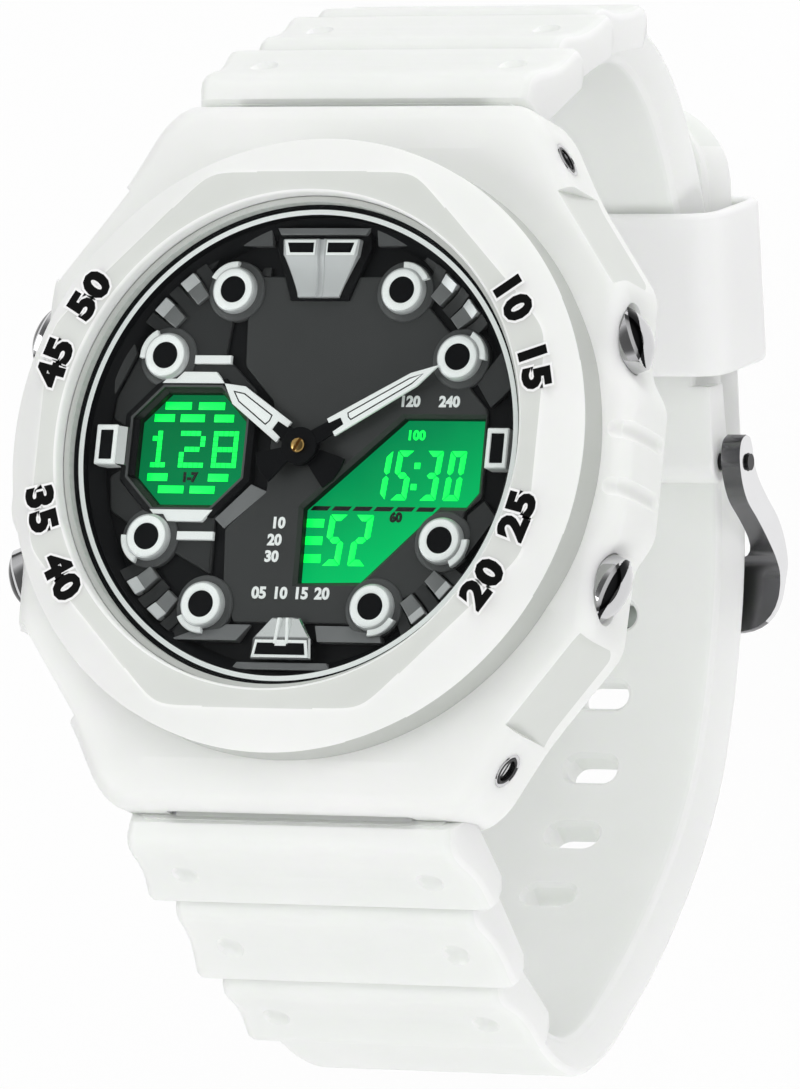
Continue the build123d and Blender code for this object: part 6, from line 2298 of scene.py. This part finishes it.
@dataclass
class Hands:
    """Two broad white hands with dark feet, on a slotted brass pin."""

    shop: Workshop
    minute_angle: float = 60.0
    hour_angle: float = 305.0
    minute_low: float = 9.42
    hour_low: float = 8.92
    thick: float = 0.2
    hub_radius: float = 1.3
    hole_radius: float = 0.47
    line_width: float = 0.085
    slot_angle: float = 62.0

    def seat(self, angle: float, low: float) -> Seat:
        """A seat along a hand that points at an angle clockwise from 12 o'clock."""
        c, s = cos(radians(angle)), sin(radians(angle))
        return Seat((0.0, 0.0, low), (s, c, 0.0), (-c, s, 0.0), (0.0, 0.0, 1.0))

    def _mirror(self, half: list[Point2]) -> list[Point2]:
        """An outline from its upper half, whose points on the middle line stay single."""
        return half + [(x, -y) for x, y in reversed(half) if y]

    def _hand(self, name: str, angle: float, low: float, body: str, nodes: tuple[str, ...],
              white: list[Point2], dark: list[Point2], slot: list[Point2]) -> None:
        """Make one hand in three layers.

        Args:
            name: the first word of its pieces.
            angle: where it points.
            low: height of its underside.
            body: the body that it rides on.
            nodes: the frame's nodes that it stands for.
            white: upper half of the white blade.
            dark: upper half of the dark foot and tail.
            slot: upper half of the dark line round the filled slot.
        """
        seat = self.seat(angle, low)
        top = self.thick
        foot = filleted(self._mirror(dark), 0.08, 2)
        shape = Shape().slab(foot, 0.0, top * 0.8, 0.03, 0.0, seat)
        base = self.shop.rough(name + "_foot", shape)
        hub = Shape().slab(circle(self.hub_radius, 36), 0.0, top, 0.05, 0.0, seat)
        self.shop.combine(base, [hub], Cut.JOIN)
        hole = Shape().slab(circle(self.hole_radius, 36), -1.0, 1.0, 0.0, 0.0, seat)
        self.shop.combine(base, [hole], Cut.CARVE)
        self.shop.finish(base, "hand_black", body, nodes)
        blade = Shape().slab(self._mirror(white), 0.02, top + 0.01, 0.07, 0.0, seat)
        self.shop.piece(name + "_blade", blade, "hand_white", body, (), 24.0)
        line = anticlockwise(self._mirror(slot))
        dark_line = Shape().slab(line, top - 0.02, top + 0.018, 0.0, 0.0, seat)
        self.shop.piece(name + "_line", dark_line, "hand_black", body)
        fill = Shape().slab(inset(line, self.line_width), top, top + 0.035, 0.02, 0.0, seat)
        self.shop.piece(name + "_fill", fill, "print_white", body)

    def build(self) -> None:
        """Make both hands and the pin."""
        white = [(3.45, 0.0), (3.45, 0.26), (2.55, 0.34), (2.55, 0.68), (9.2, 0.52), (11.2, 0.0)]
        dark = [(-3.25, 0.35), (-3.0, 1.15), (-1.0, 0.5), (1.0, 0.55), (3.4, 0.46), (3.9, 0.36),
                (3.9, 0.0)]
        slot = [(3.95, 0.0), (4.05, 0.3), (9.0, 0.24), (10.0, 0.0)]
        self._hand("minute_hand", self.minute_angle, self.minute_low, "minute_hand_set",
                   ("minute_hand",), white, dark, slot)
        white = [(2.6, 0.0), (2.6, 0.34), (1.75, 0.42), (1.75, 0.86), (6.2, 0.74), (7.6, 0.0)]
        dark = [(-3.3, 0.4), (-3.05, 1.25), (-0.9, 0.6), (0.9, 0.65), (2.4, 0.55), (3.0, 0.45),
                (3.0, 0.0)]
        slot = [(3.1, 0.0), (3.2, 0.42), (5.9, 0.36), (6.7, 0.0)]
        self._hand("hour_hand", self.hour_angle, self.hour_low, "hour_hand_set",
                   ("hour_hand",), white, dark, slot)
        pin = self.shop.rough("centre_pin", Shape().spun(
            [(0.0, 9.5), (0.5, 9.5), (0.5, 9.84), (0.46, 9.89), (0.38, 9.92), (0.0, 9.93)], 40))
        seat = FLAT.turned(self.slot_angle)
        cut = Shape().slab(box_outline(1.4, 0.2), 9.74, 10.2, 0.0, 0.0, seat)
        self.shop.combine(pin, [cut], Cut.CARVE)
        self.shop.finish(pin, "gear_brass", "minute_hand_set")


@dataclass
class CrystalStack:
    """The crystal, the black ring under it and the white line at its edge."""

    shop: Workshop
    radius: float = 16.5
    low: float = 10.0
    high: float = 11.2
    flange_inner: float = 15.75
    flange_outer: float = 16.85
    flange_foot: float = 8.2
    line_radius: float = 15.98
    line_width: float = 0.34

    def build(self) -> None:
        """Make the crystal and its rings."""
        low, high, edge = self.low, self.high, self.radius
        glass = [(0.0, low + 0.005), (edge - 0.05, low + 0.005), (edge, low + 0.06),
                 (edge, high - 0.25), (edge - 0.25, high), (0.0, high)]
        shape = Shape().spun(glass, 144)
        self.shop.piece("crystal_disc", shape, "crystal_glass", nodes=("crystal",), sharp=20.0)
        inner, outer = self.flange_inner, self.flange_outer
        ring = [(inner, self.flange_foot), (outer, self.flange_foot), (outer, low - 0.02),
                (inner + 0.14, low - 0.02), (inner + 0.06, low - 0.1)]
        shape = Shape().spun(ring, 144)
        self.shop.piece(
            "dial_ring", shape, "flange_black", nodes=("dial_flange",), sharp=FINE_SHARP
        )
        inner = self.line_radius - self.line_width / 2
        outer = self.line_radius + self.line_width / 2
        line = [(inner, low - 0.04), (outer, low - 0.04), (outer, low + 0.001),
                (inner, low + 0.001)]
        self.shop.piece("white_line", Shape().spun(line, 180), "print_white")


FINISH_NODES: dict[str, tuple[str, ...]] = {
    "back_steel": ("case_back",),
    "black_rubber": ("case_back_gasket", "pusher_seal"),
    "board_green": ("circuit_board",),
    "bright_steel": (
        "main_plate", "battery", "battery_clip", "motor_stator", "quartz_can", "contact_springs",
        "pusher_tubes", "pusher_clip", "pusher_spring", "spring_bar",
    ),
    "buzzer_brass": ("buzzer",),
    "coil_copper": ("motor_coil",),
    "gasket_grey": ("crystal_gasket",),
    "gear_brass": ("cannon_pinion", "hour_wheel", "motion_wheel"),
    "lcd_green": ("lcd_panel",),
    "light_sheet": ("backlight_panel",),
    "module_plastic": ("module_spacer",),
    "pin_dark": ("buckle_pin",),
    "screw_steel": ("case_back_screws", "bezel_screws"),
    "strip_rubber": ("connector_strips",),
}


@dataclass
class Studio:
    """The pale floor, the soft lights and the camera of the photograph."""

    shop: Workshop
    image_width: int = 800
    image_height: int = 1089
    focal_pixels: float = 10451.0
    sensor: float = 36.0
    camera_place: Point3 = (297.28, -134.28, 628.72)
    camera_right: Point3 = (217.2, 23.4, -96.6)
    camera_up: Point3 = (-3.1, 233.6, 49.6)
    floor_reach: float = 1500.0
    floor_gap: float = 11.0
    floor_white: float = 0.93
    lamps: tuple[tuple[str, Point3, float, float, Point3, bool], ...] = (
        ("key", (-138.0, -36.0, 138.0), 100.0, 0.1, (0.0, 0.0, 0.0), True),
        ("overhead", (40.0, 60.0, 260.0), 160.0, 0.14, (0.0, 0.0, 0.0), False),
        ("fill", (360.0, 60.0, 160.0), 240.0, 0.26, (0.0, 0.0, -15.0), False),
        ("low", (120.0, -370.0, 120.0), 200.0, 0.6, (0.0, 0.0, -20.0), False),
        ("back", (110.0, 420.0, 150.0), 240.0, 0.72, (0.0, 0.0, -20.0), False),
    )
    sky_power: float = 0.72
    sky_stops: tuple[Point2, ...] = (
        (0.0, 0.1), (0.18, 0.12), (0.28, 0.6), (0.45, 0.9), (0.72, 1.0), (0.81, 0.5), (0.88, 0.2),
        (1.0, 0.15),
    )

    def floor(self) -> None:
        """A pale floor under the lowest sweep of the strap, which still takes the shadow."""
        low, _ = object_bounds()
        mesh = bpy.data.meshes.new("floor")
        r = self.floor_reach * MM
        z = low.z - self.floor_gap * MM
        mesh.from_pydata([(-r, -r, z), (r, -r, z), (r, r, z), (-r, r, z)], [], [(0, 1, 2, 3)])
        made = placed("floor", mesh)
        board = Board(bpy.data.materials.new("floor_pale"))
        ray = board.add("LightPath").outputs
        seen = board.value(ray["Is Camera Ray"]).most(board.value(ray["Is Glossy Ray"]))
        seen = seen.most(board.value(ray["Is Transmission Ray"]))
        cloth = board.add("BsdfPrincipled", Base_Color=(0.9, 0.9, 0.9, 1.0), Roughness=0.9)
        white = board.add("Emission", Color=(1.0, 1.0, 1.0, 1.0), Strength=1.0)
        mix = board.mixed(seen * self.floor_white, cloth, white)
        board.add("OutputMaterial", Surface=mix)
        mesh.materials.append(board.owner)
        made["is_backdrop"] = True

    def lamp(
        self, name: str, place: Point3, size: float, power: float, target: Point3,
        mirrored: bool,
    ) -> None:
        """Add a soft square lamp that faces a target.

        Args:
            name: the lamp's name.
            place: where it hangs, in millimetres.
            size: the length of its side.
            power: its power in watts.
            target: what it faces.
            mirrored: whether polished surfaces show it.
        """
        data = bpy.data.lights.new(name, "AREA")
        data.shape = "SQUARE"
        data.size = size * MM
        data.energy = power
        made = placed(name, data)
        made.location = tuple(c * MM for c in place)
        made.visible_glossy = mirrored
        way = Vector(target) - Vector(place)
        made.rotation_euler = way.to_track_quat("-Z", "Y").to_euler()

    def lights(self) -> None:
        """The lamps and an even sky that is white to the camera."""
        for lamp in self.lamps:
            self.lamp(*lamp)
        sky = Board(bpy.data.worlds.new("sky"))
        bpy.context.scene.world = sky.owner
        place = sky.add("TexCoord").outputs["Generated"]
        height = sky.add("SeparateXYZ", Vector=place).outputs[2]
        stops = [(share, (level, level, level)) for share, level in self.sky_stops]
        ramp = sky.add("ValToRGB", {"stops": stops}, Fac=height)
        lit = sky.add("Background", Color=ramp.outputs[0], Strength=self.sky_power)
        white = sky.add("Background", Color=(1.0, 1.0, 1.0, 1.0), Strength=1.0)
        ray = sky.add("LightPath").outputs["Is Camera Ray"]
        sky.add("OutputWorld", Surface=sky.mixed(ray, lit, white))

    def camera(self) -> None:
        """The camera at the photograph's angle and framing."""
        right = Vector(self.camera_right).normalized()
        up = Vector(self.camera_up)
        up = (up - right * up.dot(right)).normalized()
        back = right.cross(up)
        data = bpy.data.cameras.new("camera")
        data.sensor_width = self.sensor
        data.lens = self.focal_pixels * self.sensor / max(self.image_width, self.image_height)
        data.clip_start, data.clip_end = 0.01, 10.0
        made = placed("camera", data)
        turn = Matrix((right, up, back)).transposed().to_4x4()
        turn.translation = Vector(self.camera_place) * MM
        made.matrix_world = turn
        bpy.context.scene.camera = made

    def build(self) -> None:
        """Set up the whole studio."""
        bpy.context.scene.view_settings.view_transform = "Standard"
        self.floor()
        self.lights()
        self.camera()


def dress_frame(shop: Workshop) -> None:
    """Give each of the frame's nodes its finish, by its whole name or that of its kind."""
    finishes = {node: finish for finish, nodes in FINISH_NODES.items() for node in nodes}
    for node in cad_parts:
        kind = node.rsplit("_", 1)[0]
        shop.dress(node, finishes.get(node) or finishes.get(kind, "case_resin"))


def main() -> None:
    """Build every sub-assembly in order."""
    logging.basicConfig(level=logging.INFO, format="%(name)s %(message)s")
    shop = Workshop()
    repeater = Repeater(shop)
    dress_frame(shop)
    Bezel(shop).build()
    StrapHalf(shop, "strap_12", 1, TWELVE_SHARES, False, scale_halves=(12.9, 11.9, 11.1)).build()
    StrapHalf(shop, "strap_6", -1, SIX_SHARES, True).build()
    Keeper(shop).build()
    Buckle(shop).build()
    Pushers(shop).build()
    Dial(shop).build()
    Markers(shop, repeater).build()
    Screens(shop, repeater).build()
    Hands(shop).build()
    CrystalStack(shop).build()
    Studio(shop).build()


if __name__ == "__main__":
    main()
